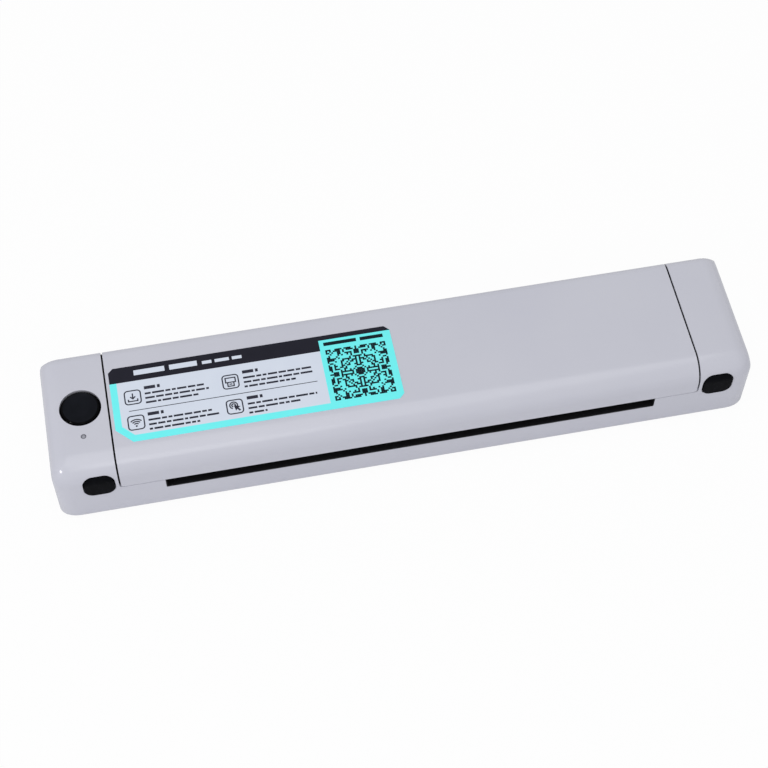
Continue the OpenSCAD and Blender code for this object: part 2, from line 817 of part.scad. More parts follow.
module head_sink() {
    color("silver") difference() {
        union() {
            box(guide_l + 3, sink_front, sink_low, guide_r - 3, sink_rear, sink_top);
            for (x = [guide_l + 3, mid_x - 4, guide_r - 11]) {
                box(x, sink_rear - 3, rod_z, x + 8, rod_y, sink_low + 0.5);
                box(x, sink_rear - 0.5, sink_low, x + 8, rod_y + ear_d / 2, sink_low + 2);
                box(x, rod_y, rod_z, x + 8, rod_y + ear_d / 2, sink_low + 2);
                x_rod(x, x + 8, rod_y, rod_z, ear_d);
            }
        }
        x_rod(guide_l, guide_r, rod_y, rod_z, rod_d + 2 * run);
        // Cooling grooves along the underside
        for (y = [sink_front + 2 : 2.6 : roller_y - 5.2])
            box(guide_l, y, sink_low - over, guide_r, y + 1, sink_low + 1.2);
    }
}

module head_ceramic() {
    y0 = roller_y - ceramic_w / 2;
    color("#8c9196") {
        box(guide_l + 3, y0, sink_top, guide_r - 3, y0 + ceramic_w, ceramic_top);
    }
}

module head_rod() {
    color("silver") x_rod(frame_l - frame_t - 0.8, frame_r + frame_t + 0.8, rod_y, rod_z, rod_d);
}

// Flat lead from the control board up to the head's rear edge
module head_flex() {
    x0 = flex_r - flex_w;
    y1 = rear_guide_front - near;
    z0 = pcb_z + pcb_t + plug_h;
    z1 = sink_low - 0.9;
    color("#c07a2c") {
        box(x0, y1, z0, flex_r, pcb_front + plug_in + plug_d, z0 + flex_t);
        box(x0, y1, z0, flex_r, y1 + flex_t, z1 + flex_t);
        box(x0, sink_rear - 3, z1, flex_r, y1 + flex_t, z1 + flex_t);
    }
}

// Point on a spring's centre line: it stands on its seat, winds up and ends upright
function coil_point(spring, height, k, n) =
    let (r = spring[0], w = spring[1], curls = spring[2], t = (k - 1) / (n - 2))
    k == 0 ? [r, 0, 0]
    : k == n ? [r * cos(360 * curls), r * sin(360 * curls), height]
    : [r * cos(360 * curls * t), r * sin(360 * curls * t), 2 * w + (height - 4 * w) * t];

// Direction of the wire at a point, which is upright at both ends
function coil_aim(spring, height, k, n) =
    let (a = coil_point(spring, height, max(k - 1, 0), n), b = coil_point(spring, height, min(k + 1, n), n))
    (k == 0 || k == n) ? [0, 0, 1] : (b - a) / norm(b - a);

function coil_ring(spring, height, k, n) =
    let (
        c = coil_point(spring, height, k, n),
        aim = coil_aim(spring, height, k, n),
        flat = [c[0], c[1], 0] / norm([c[0], c[1], 0]),
        out = (flat - aim * (flat * aim)) / norm(flat - aim * (flat * aim)),
        side = cross(aim, out)
    )
    [for (j = [0 : 5]) c + spring[1] * (cos(60 * j) * out + sin(60 * j) * side)];

// Least gap of the wire to itself, between points that are half a curl or more apart
function coil_gap(spring, height, n) =
    min([for (i = [0 : n], j = [i + 4 : 1 : n])
        norm(coil_point(spring, height, i, n) - coil_point(spring, height, j, n)) - 2 * spring[1]]);

// A compression spring that stands along +Z on the origin, as one unbroken tube
module coil(spring, height) {
    n = 8 * spring[2] + 2;
    points = [for (k = [0 : n]) each coil_ring(spring, height, k, n)];
    sides = [for (k = [0 : n - 1], j = [0 : 5])
        each [
            [6 * k + j, 6 * k + (j + 1) % 6, 6 * (k + 1) + j],
            [6 * k + (j + 1) % 6, 6 * (k + 1) + (j + 1) % 6, 6 * (k + 1) + j]
        ]];
    ends = [for (j = [1 : 4]) each [[0, j + 1, j], [6 * n, 6 * n + j, 6 * n + j + 1]]];
    polyhedron(points, [for (f = concat(sides, ends)) [f[2], f[1], f[0]]], convexity = 10);
}

spring_seat_gap = 0.1;
head_spring_l = sink_low - z_floor - spring_seat_gap - near;
echo(head_spring_least_gap = coil_gap(head_spring, head_spring_l, 8 * head_spring[2] + 2));
release_spring_l = spring_l - 0.5;
echo(release_spring_least_gap = coil_gap(release_spring, release_spring_l, 8 * release_spring[2] + 2));

module head_springs() {
    color("silver") for (x = head_spring_xs) translate([x, roller_y, z_floor + spring_seat_gap])
        coil(head_spring, head_spring_l);
}

// Gears

// Half the angle that a tooth covers at radius r, for an involute with a 20 degree pressure angle
function roll_angle(a) = tan(a) * 180 / PI - a;
function tooth_half(n, r) =
    let (pr = gear_m * n / 2, base = pr * cos(20))
    90 / n - backlash / 4 / pr * 180 / PI + roll_angle(20) - roll_angle(acos(min(base / max(r, base), 1)));

// Outline of a spur gear with a tooth centred at the angle turn
module gear_outline(n, turn) {
    pr = gear_m * n / 2;
    foot = pr - 1.25 * gear_m;
    tip = pr + gear_m;
    start = max(pr * cos(20), foot);
    steps = 4;
    radii = [for (i = [0 : steps]) start + (tip - start) * i / steps];
    circle(foot);
    for (k = [0 : n - 1]) rotate(turn + 360 * k / n) polygon(concat(
        [[foot - 0.4, -foot * sin(tooth_half(n, start))]],
        [for (r = radii) r * [cos(tooth_half(n, r)), -sin(tooth_half(n, r))]],
        [for (i = [steps : -1 : 0]) radii[i] * [cos(tooth_half(n, radii[i])), sin(tooth_half(n, radii[i]))]],
        [[foot - 0.4, foot * sin(tooth_half(n, start))]]
    ));
}

// Turn of a gear that meshes with another one, which lies at the angle aim from it and has its own turn
function mesh_turn(aim, other_turn, other_n, n) =
    aim + 180 - (other_turn - aim) * other_n / n + 180 / n;

roller_turn = 0;
idler_turn = mesh_turn(-90, roller_turn, roller_teeth, idler_teeth);
small_turn = mesh_turn(double_turn, idler_turn, idler_teeth, small_teeth);
large_turn = 0;
pinion_turn = mesh_turn(motor_turn, large_turn, large_teeth, pinion_teeth);

module roller_gear() {
    color("white") difference() {
        union() {
            translate([0, roller_y, roller_z]) x_extrude(gear_x, gear_x + gear_w)
                gear_outline(roller_teeth, roller_turn);
            x_rod(gear_x - 0.2, gear_x + gear_w, roller_y, roller_z, shaft_d + 3);
        }
        x_rod(gear_x - over, gear_x + gear_w + over, roller_y, roller_z, shaft_d - 1);
    }
}

module idler_gear() {
    color("white") difference() {
        translate([0, idler_y, idler_z]) x_extrude(gear_x, gear_x + gear_w)
            gear_outline(idler_teeth, idler_turn);
        x_rod(gear_x - over, gear_x + gear_w + over, idler_y, idler_z, stud_d + 2 * run);
    }
}

module double_gear() {
    color("white") difference() {
        translate([0, double_y, double_z]) union() {
            x_extrude(gear_x, large_x + 0.1) gear_outline(small_teeth, small_turn);
            difference() {
                x_extrude(large_x, large_x + large_w) gear_outline(large_teeth, large_turn);
                x_extrude(large_x + large_w - 0.7, large_x + large_w + over) difference() {
                    circle(large_pr - 2.2);
                    circle(3.2);
                }
            }
        }
        x_rod(gear_x - over, large_x + large_w + over, double_y, double_z, stud_d + 2 * run);
    }
}

module motor_pinion() {
    color("#d9c27a") difference() {
        translate([0, motor_y, motor_z]) x_extrude(large_x - 0.2, large_x + large_w + 0.3)
            gear_outline(pinion_teeth, pinion_turn);
        x_rod(large_x - over, large_x + large_w + over, motor_y, motor_z, motor_shaft_d + 2 * run);
    }
}

motor_ear = motor_d / 2 + 2.2;
motor_plate_t = 0.8;
motor_nose_d = 6;
motor_screw_d = 1.64;
motor_head_d = 3.8;
motor_head_h = 1.15;

module stepper_motor() {
    color("#8f9399") {
        x_rod(motor_x + motor_plate_t, motor_x + motor_l, motor_y, motor_z, motor_d);
        difference() {
            x_extrude(motor_x, motor_x + motor_plate_t) translate([motor_y, motor_z]) union() {
                circle(d = motor_d);
                rect(-motor_ear, -3, motor_ear, 3);
                for (s = [-1, 1]) translate([s * motor_ear, 0]) circle(3);
            }
            for (s = [-1, 1])
                x_rod(motor_x - over, motor_x + over, motor_y + s * motor_ear, motor_z, 2.2);
        }
        x_rod(pod_r + 0.2, motor_x + 0.4, motor_y, motor_z, motor_nose_d);
        x_rod(large_x - 0.6, motor_x, motor_y, motor_z, motor_shaft_d);
        box(motor_x + 4, motor_y - 4, motor_z + motor_d / 2 - 1,
            motor_x + 10, motor_y + 4, motor_z + motor_d / 2 + 2);
    }
}

// Screws that hold the motor's ears to the end housing's inner wall
module motor_screws() {
    color("silver") for (s = [-1, 1]) {
        head = motor_x + motor_plate_t + run;
        x_rod(pod_r + 0.2, head + near, motor_y + s * motor_ear, motor_z, motor_screw_d);
        x_rod(head, head + motor_head_h, motor_y + s * motor_ear, motor_z, motor_head_d);
    }
}

// Electronics

chip_w = 10;
coil_w = 8;
memory_w = 7;
capacitor_d = 5;
capacitor_h = 3.6;
board_posts = [
    [pcb_l + 6, pcb_front + 3.4], [pcb_l + 6, pcb_neck - 3.4], [pcb_r - 3.4, pcb_rear - 3.4]
];

module control_board() {
    color("#1f5b3a") difference() {
        z_extrude(pcb_z, pcb_z + pcb_t) {
            rect(pcb_l, pcb_front, pcb_r, pcb_neck);
            rect(pod_l + 1, pcb_front, pcb_r, pcb_rear);
        }
        for (b = board_posts) z_rod(b[0], b[1], pcb_z - over, pcb_z + pcb_t + over, 1.9);
    }
}

module board_screws() {
    color("silver") for (b = board_posts) {
        z_rod(b[0], b[1], pcb_z + pcb_t, pcb_z + pcb_t + 1.2, 3.6);
        z_rod(b[0], b[1], pcb_z - 1.6, pcb_z + pcb_t + 0.4, 1.36);
    }
}

// Plugs, coil, processor and capacitors on the board
module board_parts() {
    z = pcb_z + pcb_t;
    y = pcb_front + plug_in;
    color("#26262a") {
        box(flex_r - flex_w - 2, y, z, flex_r + 2, y + plug_d, z + plug_h);
        board_block((pod_l + pcb_r) / 2, pcb_front + 12, chip_w, 1.2);
        board_block(pod_l + 37, pcb_front + 9, coil_w, 3);
        board_block(pcb_r - 16.5, pcb_front + 11.5, memory_w, 1);
        for (k = [0 : 2]) z_rod(pod_l + 10.8 + 7 * k, pcb_rear - 6, z, z + capacitor_h, capacitor_d);
    }
}

// A square block on the board, round its middle
module board_block(x, y, w, h) {
    z = pcb_z + pcb_t;
    box(x - w / 2, y - w / 2, z, x + w / 2, y + w / 2, z + h);
}

module usb_socket() {
    z = pcb_z + pcb_t;
    x0 = -x_end + 0.6;
    color("silver") difference() {
        x_extrude(x0, x0 + usb_l) round_rect(usb_y - usb_w / 2, z, usb_y + usb_w / 2, z + usb_h, 1.3);
        x_extrude(x0 - over, x0 + usb_l - 1) difference() {
            round_rect(usb_y - usb_w / 2 + 0.3, z + 0.3, usb_y + usb_w / 2 - 0.3, z + usb_h - 0.3, 1);
            rect(usb_y - 3.3, z + usb_h / 2 - 0.35, usb_y + 3.3, z + usb_h / 2 + 0.35);
        }
    }
}

module battery_pack() {
    y1 = battery_y + battery_w;
    color("#3a6ea5") x_extrude(battery_x, battery_x + battery_l)
        round_rect(battery_y, z_floor, y1, z_floor + battery_h, 2);
}

// Pair of leads from the battery to its plug on the board
module battery_lead() {
    z = z_floor + battery_h / 2;
    color("#a8322c") for (k = [0, 1])
        x_rod(pcb_r + 0.3, battery_x - 0.01, battery_y + 11 + 2.2 * k, z, 1.4);
}

// Hangs the power button's board from the top of the left end housing
button_posts = [[power_x - 5.5, led_y - 0.5], [power_x, power_y + power_hole_d / 2 + 5]];
post_d = 4;

module button_board_posts() {
    intersection() {
        for (b = button_posts) z_rod(b[0], b[1], board_top, z_top, post_d);
        x_extrude(-x_end, x_end) casing_section(wall / 2, z_floor, 0.4);
    }
}

module button_board() {
    color("#1f5b3a") {
        difference() {
            union() {
                box(power_x - 8, led_y - 3, board_top - board_t, power_x + 6, power_y + 6, board_top);
                box(power_x - 3, power_y, board_top - board_t, power_x + 3, button_posts[1][1] + 3, board_top);
            }
            for (b = button_posts) z_rod(b[0], b[1], board_top - 2 * board_t, board_top + over, 1.4);
        }
        box(power_x - 0.8, led_y - 0.8, board_top, power_x + 0.8, led_y + 0.8, board_top + 0.8);
    }
}

module power_switch() {
    color("#26262a") {
        box(power_x - 3, power_y - 3, board_top, power_x + 3, power_y + 3, board_top + switch_h - 1);
        z_rod(power_x, power_y, board_top, board_top + switch_h - 0.3, 3.4);
    }
}

module light_pipe() {
    color("#9ea3ad") {
        z_rod(power_x, led_y, board_top + 1.1, z_top, led_d);
        z_rod(power_x, led_y, z_top - wall - 1.1, z_top - wall - 0.1, led_d + 2);
    }
}

// A dished round cap with a bevelled rim, a flange that keeps it in and a stem for the switch
module power_button() {
    r = power_hole_d / 2 - button_gap;
    top = z_top + power_proud;
    flange_top = z_top - wall - 0.15;
    dish_r = 60;
    dish_deep = 0.45;
    stem_r = 1.8;
    color("#19191c") translate([power_x, power_y, 0]) difference() {
        rotate_extrude() {
            polygon([
                [0, flange_top], [r, flange_top], [r, top - 0.7], [r - 0.35, top - 0.2],
                [r - 1, top], [0, top]
            ]);
            rect(0, flange_top - power_flange_t, power_flange_d / 2, flange_top);
            rect(0, board_top + switch_h + power_travel, stem_r, flange_top);
        }
        translate([0, 0, top - dish_deep + dish_r]) sphere(dish_r, $fn = 96);
    }
}

// Release buttons

module release_outline(x, gap) {
    w = release_w / 2 - gap;
    h = release_h / 2 - gap;
    round_rect(x - w, release_mid - h, x + w, release_mid + h, release_r - gap);
}

// Casing section that stands proud by a little, and follows the curved front edge
module proud_section(proud) {
    casing_section(-proud, z_low, bottom_r);
}

// A cap that follows the casing's front, its stem, its latch arm and its keeping lip
module release_button(k) {
    x = release_xs[k];
    aim = k == 0 ? 1 : -1;
    near_face = k == 0 ? pod_l : pod_r;
    wall_in = y_front + wall;
    lip = x - aim * (release_w / 2 + lip_out);
    arm_end = near_face + aim * (side_seam + wall + 0.4);
    color("#19191c") {
        intersection() {
            y_extrude(y_front - over, wall_in + 2) release_outline(x, button_gap);
            x_extrude(x - release_w, x + release_w) proud_section(release_proud);
        }
        // Block and stem behind the cap
        box(x - stem_w / 2, wall_in + 1.6, stem_mid - stem_h / 2,
            x + stem_w / 2, stem_end, stem_mid + stem_h / 2);
        // Lip behind the front wall, on the side away from the cover
        box(min(lip, x), wall_in + guide_gap, release_mid - 5,
            max(lip, x), wall_in + guide_gap + lip_t, release_mid + 1);
        // Leg down to the latch arm, and the arm through the inner wall
        box(x - leg_w / 2, latch_y, latch_low, x + leg_w / 2, latch_y + latch_w, stem_mid);
        box(min(x, arm_end), latch_y, latch_low, max(x, arm_end), latch_y + latch_w, latch_low + latch_h);
    }
}

module release_button_left() {
    release_button(0);
}

module release_button_right() {
    release_button(1);
}

// Ribs inside the end housings that the release springs push against
module release_spring_seats() {
    y0 = stem_end + spring_l;
    box(release_xs[0] - 4, y0, stem_mid - 3.5, pod_l - pod_wall / 2, y0 + 1.5, stem_mid + 3.5);
    box(pod_r + pod_wall / 2, y0, stem_mid - 3.5, release_xs[1] + 4, y0 + 1.5, stem_mid + 3.5);
}

module release_spring_at(x) {
    color("silver") translate([x, stem_end + spring_l - 0.2, stem_mid]) rotate([90, 0, 0])
        coil(release_spring, release_spring_l);
}

module release_spring_left() {
    release_spring_at(release_xs[0]);
}

module release_spring_right() {
    release_spring_at(release_xs[1]);
}

// Dark strips stuck in the gaps beside the cover, which close them to light and dust
strip_t = 0.6;
strip_in = 0.8;
strip_w = 1.4;
strip_low = front_wall_top + cover_corner_r + side_seam / 2 + 0.1;

module seam_strips() {
    color("#16161a") for (x = [pod_l, pod_r - strip_t]) x_extrude(x, x + strip_t) difference() {
        casing_section(strip_in, strip_low, 0.1);
        casing_section(strip_in + strip_w, z_low, 0.1);
    }
}

// Small lever switch that feels the closed cover
module cover_switch() {
    x = cover_l + 3.2;
    y = rod_y + 4;
    color("#26262a") {
        box(x, y, pcb_z + pcb_t, x + 5, y + 12, cover_low - 4);
        box(x + 1, y + 1, cover_low - 4, x + 4, y + 2, cover_low - 1.5);
        box(x + 1, y + 1, cover_low - 1.5, x + 4, y + 9, cover_low - 1);
    }
}

// Cover

// Screws that hold the inner frame in the cover, and their bosses
liner_screw_d = 1.66;
liner_screw_l = 4.6;
liner_head_d = 4;
liner_head_h = 1;
liner_sink = 0.7;
liner_boss_d = 4.8;
liner_front_y = y_front + 6.4;
liner_rear_y = hinge_y - 12;
liner_bosses = [
    for (s = [-1 : 1]) for (y = [liner_front_y, liner_rear_y]) [mid_x + s * 0.385 * slot_w, y]
];

module cover_shell() {
    color("#c3c4cf") difference() {
        union() {
            difference() {
                x_extrude(cover_l, cover_r) difference() {
                    casing_section();
                    rect(y_front - over, z_low - over, y_rear + over, cover_low);
                }
                x_extrude(cover_l + wall, cover_r - wall) casing_section(wall, z_low, 0.4);
                // Rounded lower corners of the front
                y_extrude(y_front - over, y_front + wall + 0.01) {
                    corner_waste(cover_l, cover_low, cover_corner_r, 1, 1);
                    corner_waste(cover_r, cover_low, cover_corner_r, -1, 1);
                }
            }
            intersection() {
                for (b = liner_bosses) z_rod(b[0], b[1], liner_low + liner_t, z_top, liner_boss_d);
                x_extrude(cover_l, cover_r) casing_section(wall / 2, z_low, 0.4);
            }
            // Bosses round the hinge pins
            x_rod(cover_l + wall / 2, cover_l + hinge_boss_l, hinge_y, hinge_z, hinge_boss_d);
            x_rod(cover_r - hinge_boss_l, cover_r - wall / 2, hinge_y, hinge_z, hinge_boss_d);
            latch_hook(cover_l);
            latch_hook(cover_r - wall);
        }
        hinge_pin(-1, run);
        hinge_pin(1, run);
        for (b = liner_bosses)
            z_rod(b[0], b[1], liner_low, liner_low + liner_t + liner_screw_l + 0.4, liner_screw_d + 0.04);
    }
}

// Hook that hangs from the cover's side, with a barb that points to the rear
module latch_hook(x) {
    tip = hook_front + hook_w;
    x_extrude(x, x + wall) polygon([
        [hook_front, cover_low + 3], [hook_front, hook_low + 1], [hook_front + 1, hook_low],
        [tip, hook_low], [tip + barb, hook_low + 1.2], [tip + barb, hook_low + 2],
        [tip, hook_low + 2], [tip, cover_low + 3]
    ]);
}

module liner_section() {
    high = liner_low + liner_t;
    rect(liner_front, liner_low, recess_front, high);
    rect(liner_front, liner_low, liner_front + liner_t, liner_low + 3.6);
    rect(recess_front - liner_t, liner_low, recess_front, recess_top + liner_t);
    rect(recess_front - liner_t, recess_top, recess_rear + liner_t, recess_top + liner_t);
    rect(recess_rear, liner_low, recess_rear + liner_t, recess_top + liner_t);
    rect(recess_rear, liner_low, liner_rear, high);
    rect(liner_rear - liner_t, liner_low, liner_rear, liner_low + 3.6);
}

// Plate at the roller's end that holds its bush
module roller_bracket(x) {
    x_extrude(x, x + bracket_t) difference() {
        rect(recess_front - liner_t, roller_z - bush_d / 2 - 1.6, recess_rear + liner_t, recess_top + liner_t);
        translate([roller_y, roller_z]) circle(d = bush_d + 0.04);
    }
}

// A low rib under the inner frame, along Y
module liner_ridge(x, y0, y1) {
    box(x - rib_w / 2, y0, liner_low - liner_rib, x + rib_w / 2, y1, liner_low + 0.5);
}

module cover_liner() {
    color("#1c1c1e") difference() {
        union() {
            x_extrude(bracket_l - bracket_t, bracket_r + bracket_t) liner_section();
            roller_bracket(bracket_l - bracket_t);
            roller_bracket(bracket_r);
            for (x = rib_xs) {
                liner_ridge(x, liner_front, recess_front);
                liner_ridge(x, recess_rear, liner_rear);
            }
        }
        for (b = liner_bosses) {
            z_rod(b[0], b[1], liner_low - liner_rib - over, liner_low + liner_t + over, liner_screw_d + 0.5);
            z_rod(b[0], b[1], liner_low - liner_rib - over, liner_low + liner_sink, liner_head_d + 0.6);
        }
    }
}

module liner_screws() {
    z = liner_low + liner_sink;
    color("silver") for (b = liner_bosses) {
        z_rod(b[0], b[1], z - liner_head_h, z, liner_head_d);
        z_rod(b[0], b[1], z - liner_head_h, liner_low + liner_t + liner_screw_l, liner_screw_d);
    }
}

// Film label with cut corners, stuck on the cover's top
label_cut = [2.1, 7, 2.4, 2.3];

module guide_label() {
    x0 = cover_l + label_in;
    x1 = x0 + label_l;
    y0 = y_front + front_r + label_front;
    y1 = y_rear - rear_r - label_rear;
    color("#d9deea") z_extrude(z_top, z_top + label_t) polygon([
        [x0, y0 + label_cut[1]], [x0 + label_cut[1], y0], [x1 - label_cut[2], y0], [x1, y0 + label_cut[2]],
        [x1, y1 - label_cut[3]], [x1 - label_cut[3], y1], [x0 + label_cut[0], y1], [x0, y1 - label_cut[0]]
    ]);
}

// Feed roller

// A bush in the bracket at x, with its flange on the bracket's outer side
module roller_bush(x, flange_x) {
    difference() {
        union() {
            x_rod(x, x + bracket_t, roller_y, roller_z, bush_d);
            x_rod(flange_x, flange_x + bush_flange_t, roller_y, roller_z, bush_flange_d);
        }
        x_rod(x - over, x + bracket_t + over, roller_y, roller_z, shaft_d + 2 * run);
    }
}

module roller_bushes() {
    color("#e8e2d0") {
        roller_bush(bracket_l - bracket_t, bracket_l - bracket_t - bush_flange_t);
        roller_bush(bracket_r, bracket_r + bracket_t);
    }
}

module roller_shaft() {
    neck = bracket_r + bracket_t + 1;
    color("silver") {
        x_rod(bracket_l - bracket_t - 1.8, gear_x - 0.9, roller_y, roller_z, shaft_d);
        x_rod(gear_x - 1, gear_x + gear_w + 0.6, roller_y, roller_z, shaft_d - 1);
    }
}

module feed_roller() {
    color("#2a2a2c") difference() {
        x_rod(slot_l + roller_end, slot_r - roller_end, roller_y, roller_z, roller_d);
        x_rod(slot_l, slot_r, roller_y, roller_z, shaft_d);
    }
}

housing();
bottom_cover();
rubber_feet();
case_screws();
hinge_pins();
side_frame_left();
side_frame_right();
front_guide();
rear_guide();
head_rod();
head_springs();
head_sink();
head_ceramic();
head_flex();
stepper_motor();
motor_screws();
motor_pinion();
double_gear();
idler_gear();
gear_studs();
control_board();
board_parts();
board_screws();
usb_socket();
battery_pack();
battery_lead();
button_board();
power_switch();
light_pipe();
power_button();
release_button_left();
release_button_right();
release_spring_left();
release_spring_right();
cover_switch();
paper_sensor();
seam_strips();
cover_shell();
cover_liner();
liner_screws();
guide_label();
roller_bushes();
roller_shaft();
feed_roller();
roller_gear();
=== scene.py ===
"""Looks of the portable thermal printer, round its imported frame: finishes, label, buttons, springs, leads."""
import math

import bmesh
import bpy
from mathutils import Matrix, Vector


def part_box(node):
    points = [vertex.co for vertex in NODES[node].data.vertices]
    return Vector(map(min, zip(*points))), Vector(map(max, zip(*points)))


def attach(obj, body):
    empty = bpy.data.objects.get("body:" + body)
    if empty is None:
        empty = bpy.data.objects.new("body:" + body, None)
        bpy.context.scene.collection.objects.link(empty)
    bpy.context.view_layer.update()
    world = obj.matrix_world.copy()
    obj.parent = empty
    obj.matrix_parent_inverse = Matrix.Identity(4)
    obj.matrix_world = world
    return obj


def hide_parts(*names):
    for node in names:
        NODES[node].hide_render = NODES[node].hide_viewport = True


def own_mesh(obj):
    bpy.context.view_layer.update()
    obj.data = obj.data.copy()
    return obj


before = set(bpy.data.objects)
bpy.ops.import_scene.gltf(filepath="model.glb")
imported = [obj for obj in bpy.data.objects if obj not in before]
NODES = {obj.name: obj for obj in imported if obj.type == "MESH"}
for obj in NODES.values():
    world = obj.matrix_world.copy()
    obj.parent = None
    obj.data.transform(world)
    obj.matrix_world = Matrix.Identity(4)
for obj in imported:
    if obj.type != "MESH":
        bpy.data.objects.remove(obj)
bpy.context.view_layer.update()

MM = 0.001


# Camera, at the photograph's viewing angle; places in millimetres, angles in degrees

CAMERA_PLACE = (-91.442, -426.532, 696.518)
CAMERA_ELEVATION = 57.249
CAMERA_TURN = -11.356
CAMERA_ROLL = 0.382
CAMERA_LENS = 84.548
SENSOR = 36.0


def make_camera():
    """The camera that was fitted to the casing's outline in the photograph."""
    lens = bpy.data.cameras.new("camera")
    lens.lens = CAMERA_LENS
    lens.sensor_width = SENSOR
    lens.clip_start = 0.02
    camera = bpy.data.objects.new("camera", lens)
    turned_to = Matrix.Rotation(math.radians(CAMERA_TURN), 4, "Z")
    tilted = Matrix.Rotation(math.radians(90 - CAMERA_ELEVATION), 4, "X")
    rolled = Matrix.Rotation(math.radians(CAMERA_ROLL), 4, "Z")
    place = Matrix.Translation(Vector(CAMERA_PLACE) * MM)
    camera.matrix_world = place @ turned_to @ tilted @ rolled
    bpy.context.scene.collection.objects.link(camera)
    bpy.context.scene.camera = camera


make_camera()
bpy.context.scene.view_settings.view_transform = "Standard"


# Node trees

def linear(hex_colour):
    """The linear RGBA of an sRGB hex colour."""
    channels = [int(hex_colour[i:i + 2], 16) / 255 for i in (1, 3, 5)]
    return [c / 12.92 if c <= 0.04045 else ((c + 0.055) / 1.055) ** 2.4 for c in channels] + [1.0]


def add(tree, kind, inputs=None, **settings):
    """Adds a node with its settings; each input is a value, or the socket that feeds it."""
    node = tree.nodes.new(kind)
    for name, value in settings.items():
        setattr(node, name, value)
    for socket, value in (inputs or {}).items():
        if isinstance(value, bpy.types.NodeSocket):
            tree.links.new(value, node.inputs[socket])
        else:
            node.inputs[socket].default_value = value
    return node


def maths(tree, operation, *values):
    """The result of a maths node; each value is a number, or the socket that feeds it."""
    return add(tree, "ShaderNodeMath", dict(enumerate(values)), operation=operation).outputs[0]


# Finishes. Each is one Principled shader, whose colour, gloss and relief drift as the real one's do close up.

def finish(name, colour, **sockets):
    """A material with one Principled shader; returns the material, its tree and the shader."""
    made = bpy.data.materials.new(name)
    made.use_nodes = True
    tree = made.node_tree
    tree.nodes.clear()
    values = {"Base Color": linear(colour)}
    values.update({socket.replace("_", " "): value for socket, value in sockets.items()})
    shader = add(tree, "ShaderNodeBsdfPrincipled", values)
    add(tree, "ShaderNodeOutputMaterial", {"Surface": shader.outputs["BSDF"]})
    return made, tree, shader


def pattern(tree, size, detail=2.0, along=(1, 1, 1)):
    """Noise with features about size millimetres across, drawn out where along is below 1."""
    place = add(tree, "ShaderNodeTexCoord").outputs["Object"]
    mapped = add(tree, "ShaderNodeMapping", {"Vector": place, "Scale": along}).outputs["Vector"]
    values = {"Vector": mapped, "Scale": 1 / (size * MM), "Detail": detail}
    return add(tree, "ShaderNodeTexNoise", values).outputs["Fac"]


def clouded(tree, shader, fac, low, high, start=0.3, end=0.7):
    """Lets the colour drift between two shades, as real batches, handling and light dust do."""
    shades = add(tree, "ShaderNodeValToRGB", {"Fac": fac})
    first, last = shades.color_ramp.elements
    first.position, first.color = start, linear(low)
    last.position, last.color = end, linear(high)
    tree.links.new(shades.outputs["Color"], shader.inputs["Base Color"])


def glossed(tree, shader, fac, smooth, rough):
    """Lets the gloss drift between two roughnesses."""
    level = add(tree, "ShaderNodeMapRange", {"Value": fac, "To Min": smooth, "To Max": rough})
    tree.links.new(level.outputs["Result"], shader.inputs["Roughness"])


def grained(tree, shader, height, depth, strength):
    """Gives the surface a relief of depth millimetres."""
    relief = add(tree, "ShaderNodeBump", {"Height": height, "Strength": strength, "Distance": depth * MM})
    tree.links.new(relief.outputs["Normal"], shader.inputs["Normal"])


def coat(name, colour, clouds, gloss=None, grain=None, ramp=(0.3, 0.7), **sockets):
    """A finish whose colour, gloss and relief each drift by a noise of their own. clouds starts with two
    shades, gloss with two roughnesses, and grain with depth and strength; then comes the noise, as for
    pattern(). ramp is where on the noise the two shades are."""
    made, tree, shader = finish(name, colour, **sockets)
    clouded(tree, shader, pattern(tree, *clouds[2:]), *clouds[:2], *ramp)
    if gloss:
        glossed(tree, shader, pattern(tree, *gloss[2:]), *gloss[:2])
    if grain:
        grained(tree, shader, pattern(tree, *grain[2:]), *grain[:2])
    return made


def marked(name, colour, noise, clouds, gloss=None, grain=None, **sockets):
    """A finish whose colour, gloss and relief all follow one noise, as pores and tool marks make them."""
    made, tree, shader = finish(name, colour, **sockets)
    marks = pattern(tree, *noise)
    clouded(tree, shader, marks, *clouds)
    if gloss:
        glossed(tree, shader, marks, *gloss)
    if grain:
        grained(tree, shader, marks, *grain)
    return made


def printed(name, colour, shade, specular):
    """Screen ink under the label's clear film: even and smooth, with a soft film gloss."""
    return coat(name, colour, (colour, shade, 7, 3), (0.3, 0.38, 3), IOR=1.49, Specular_IOR_Level=specular)


def glazed_ceramic():
    """Alumina ceramic under a grey glass glaze, with the row of heaters a darker line along its middle."""
    made, tree, shader = finish("alumina_glazed", "#9A9FA3", IOR=1.6, Roughness=0.12)
    half_line = 0.6 * MM
    low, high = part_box("head_ceramic")
    place = add(tree, "ShaderNodeTexCoord").outputs["Object"]
    across = add(tree, "ShaderNodeSeparateXYZ", {"Vector": place}).outputs["Y"]
    away = maths(tree, "ABSOLUTE", maths(tree, "SUBTRACT", across, (low.y + high.y) / 2))
    clouded(tree, shader, maths(tree, "LESS_THAN", away, half_line), "#9A9FA3", "#5D5F66", 0.2, 0.8)
    return made


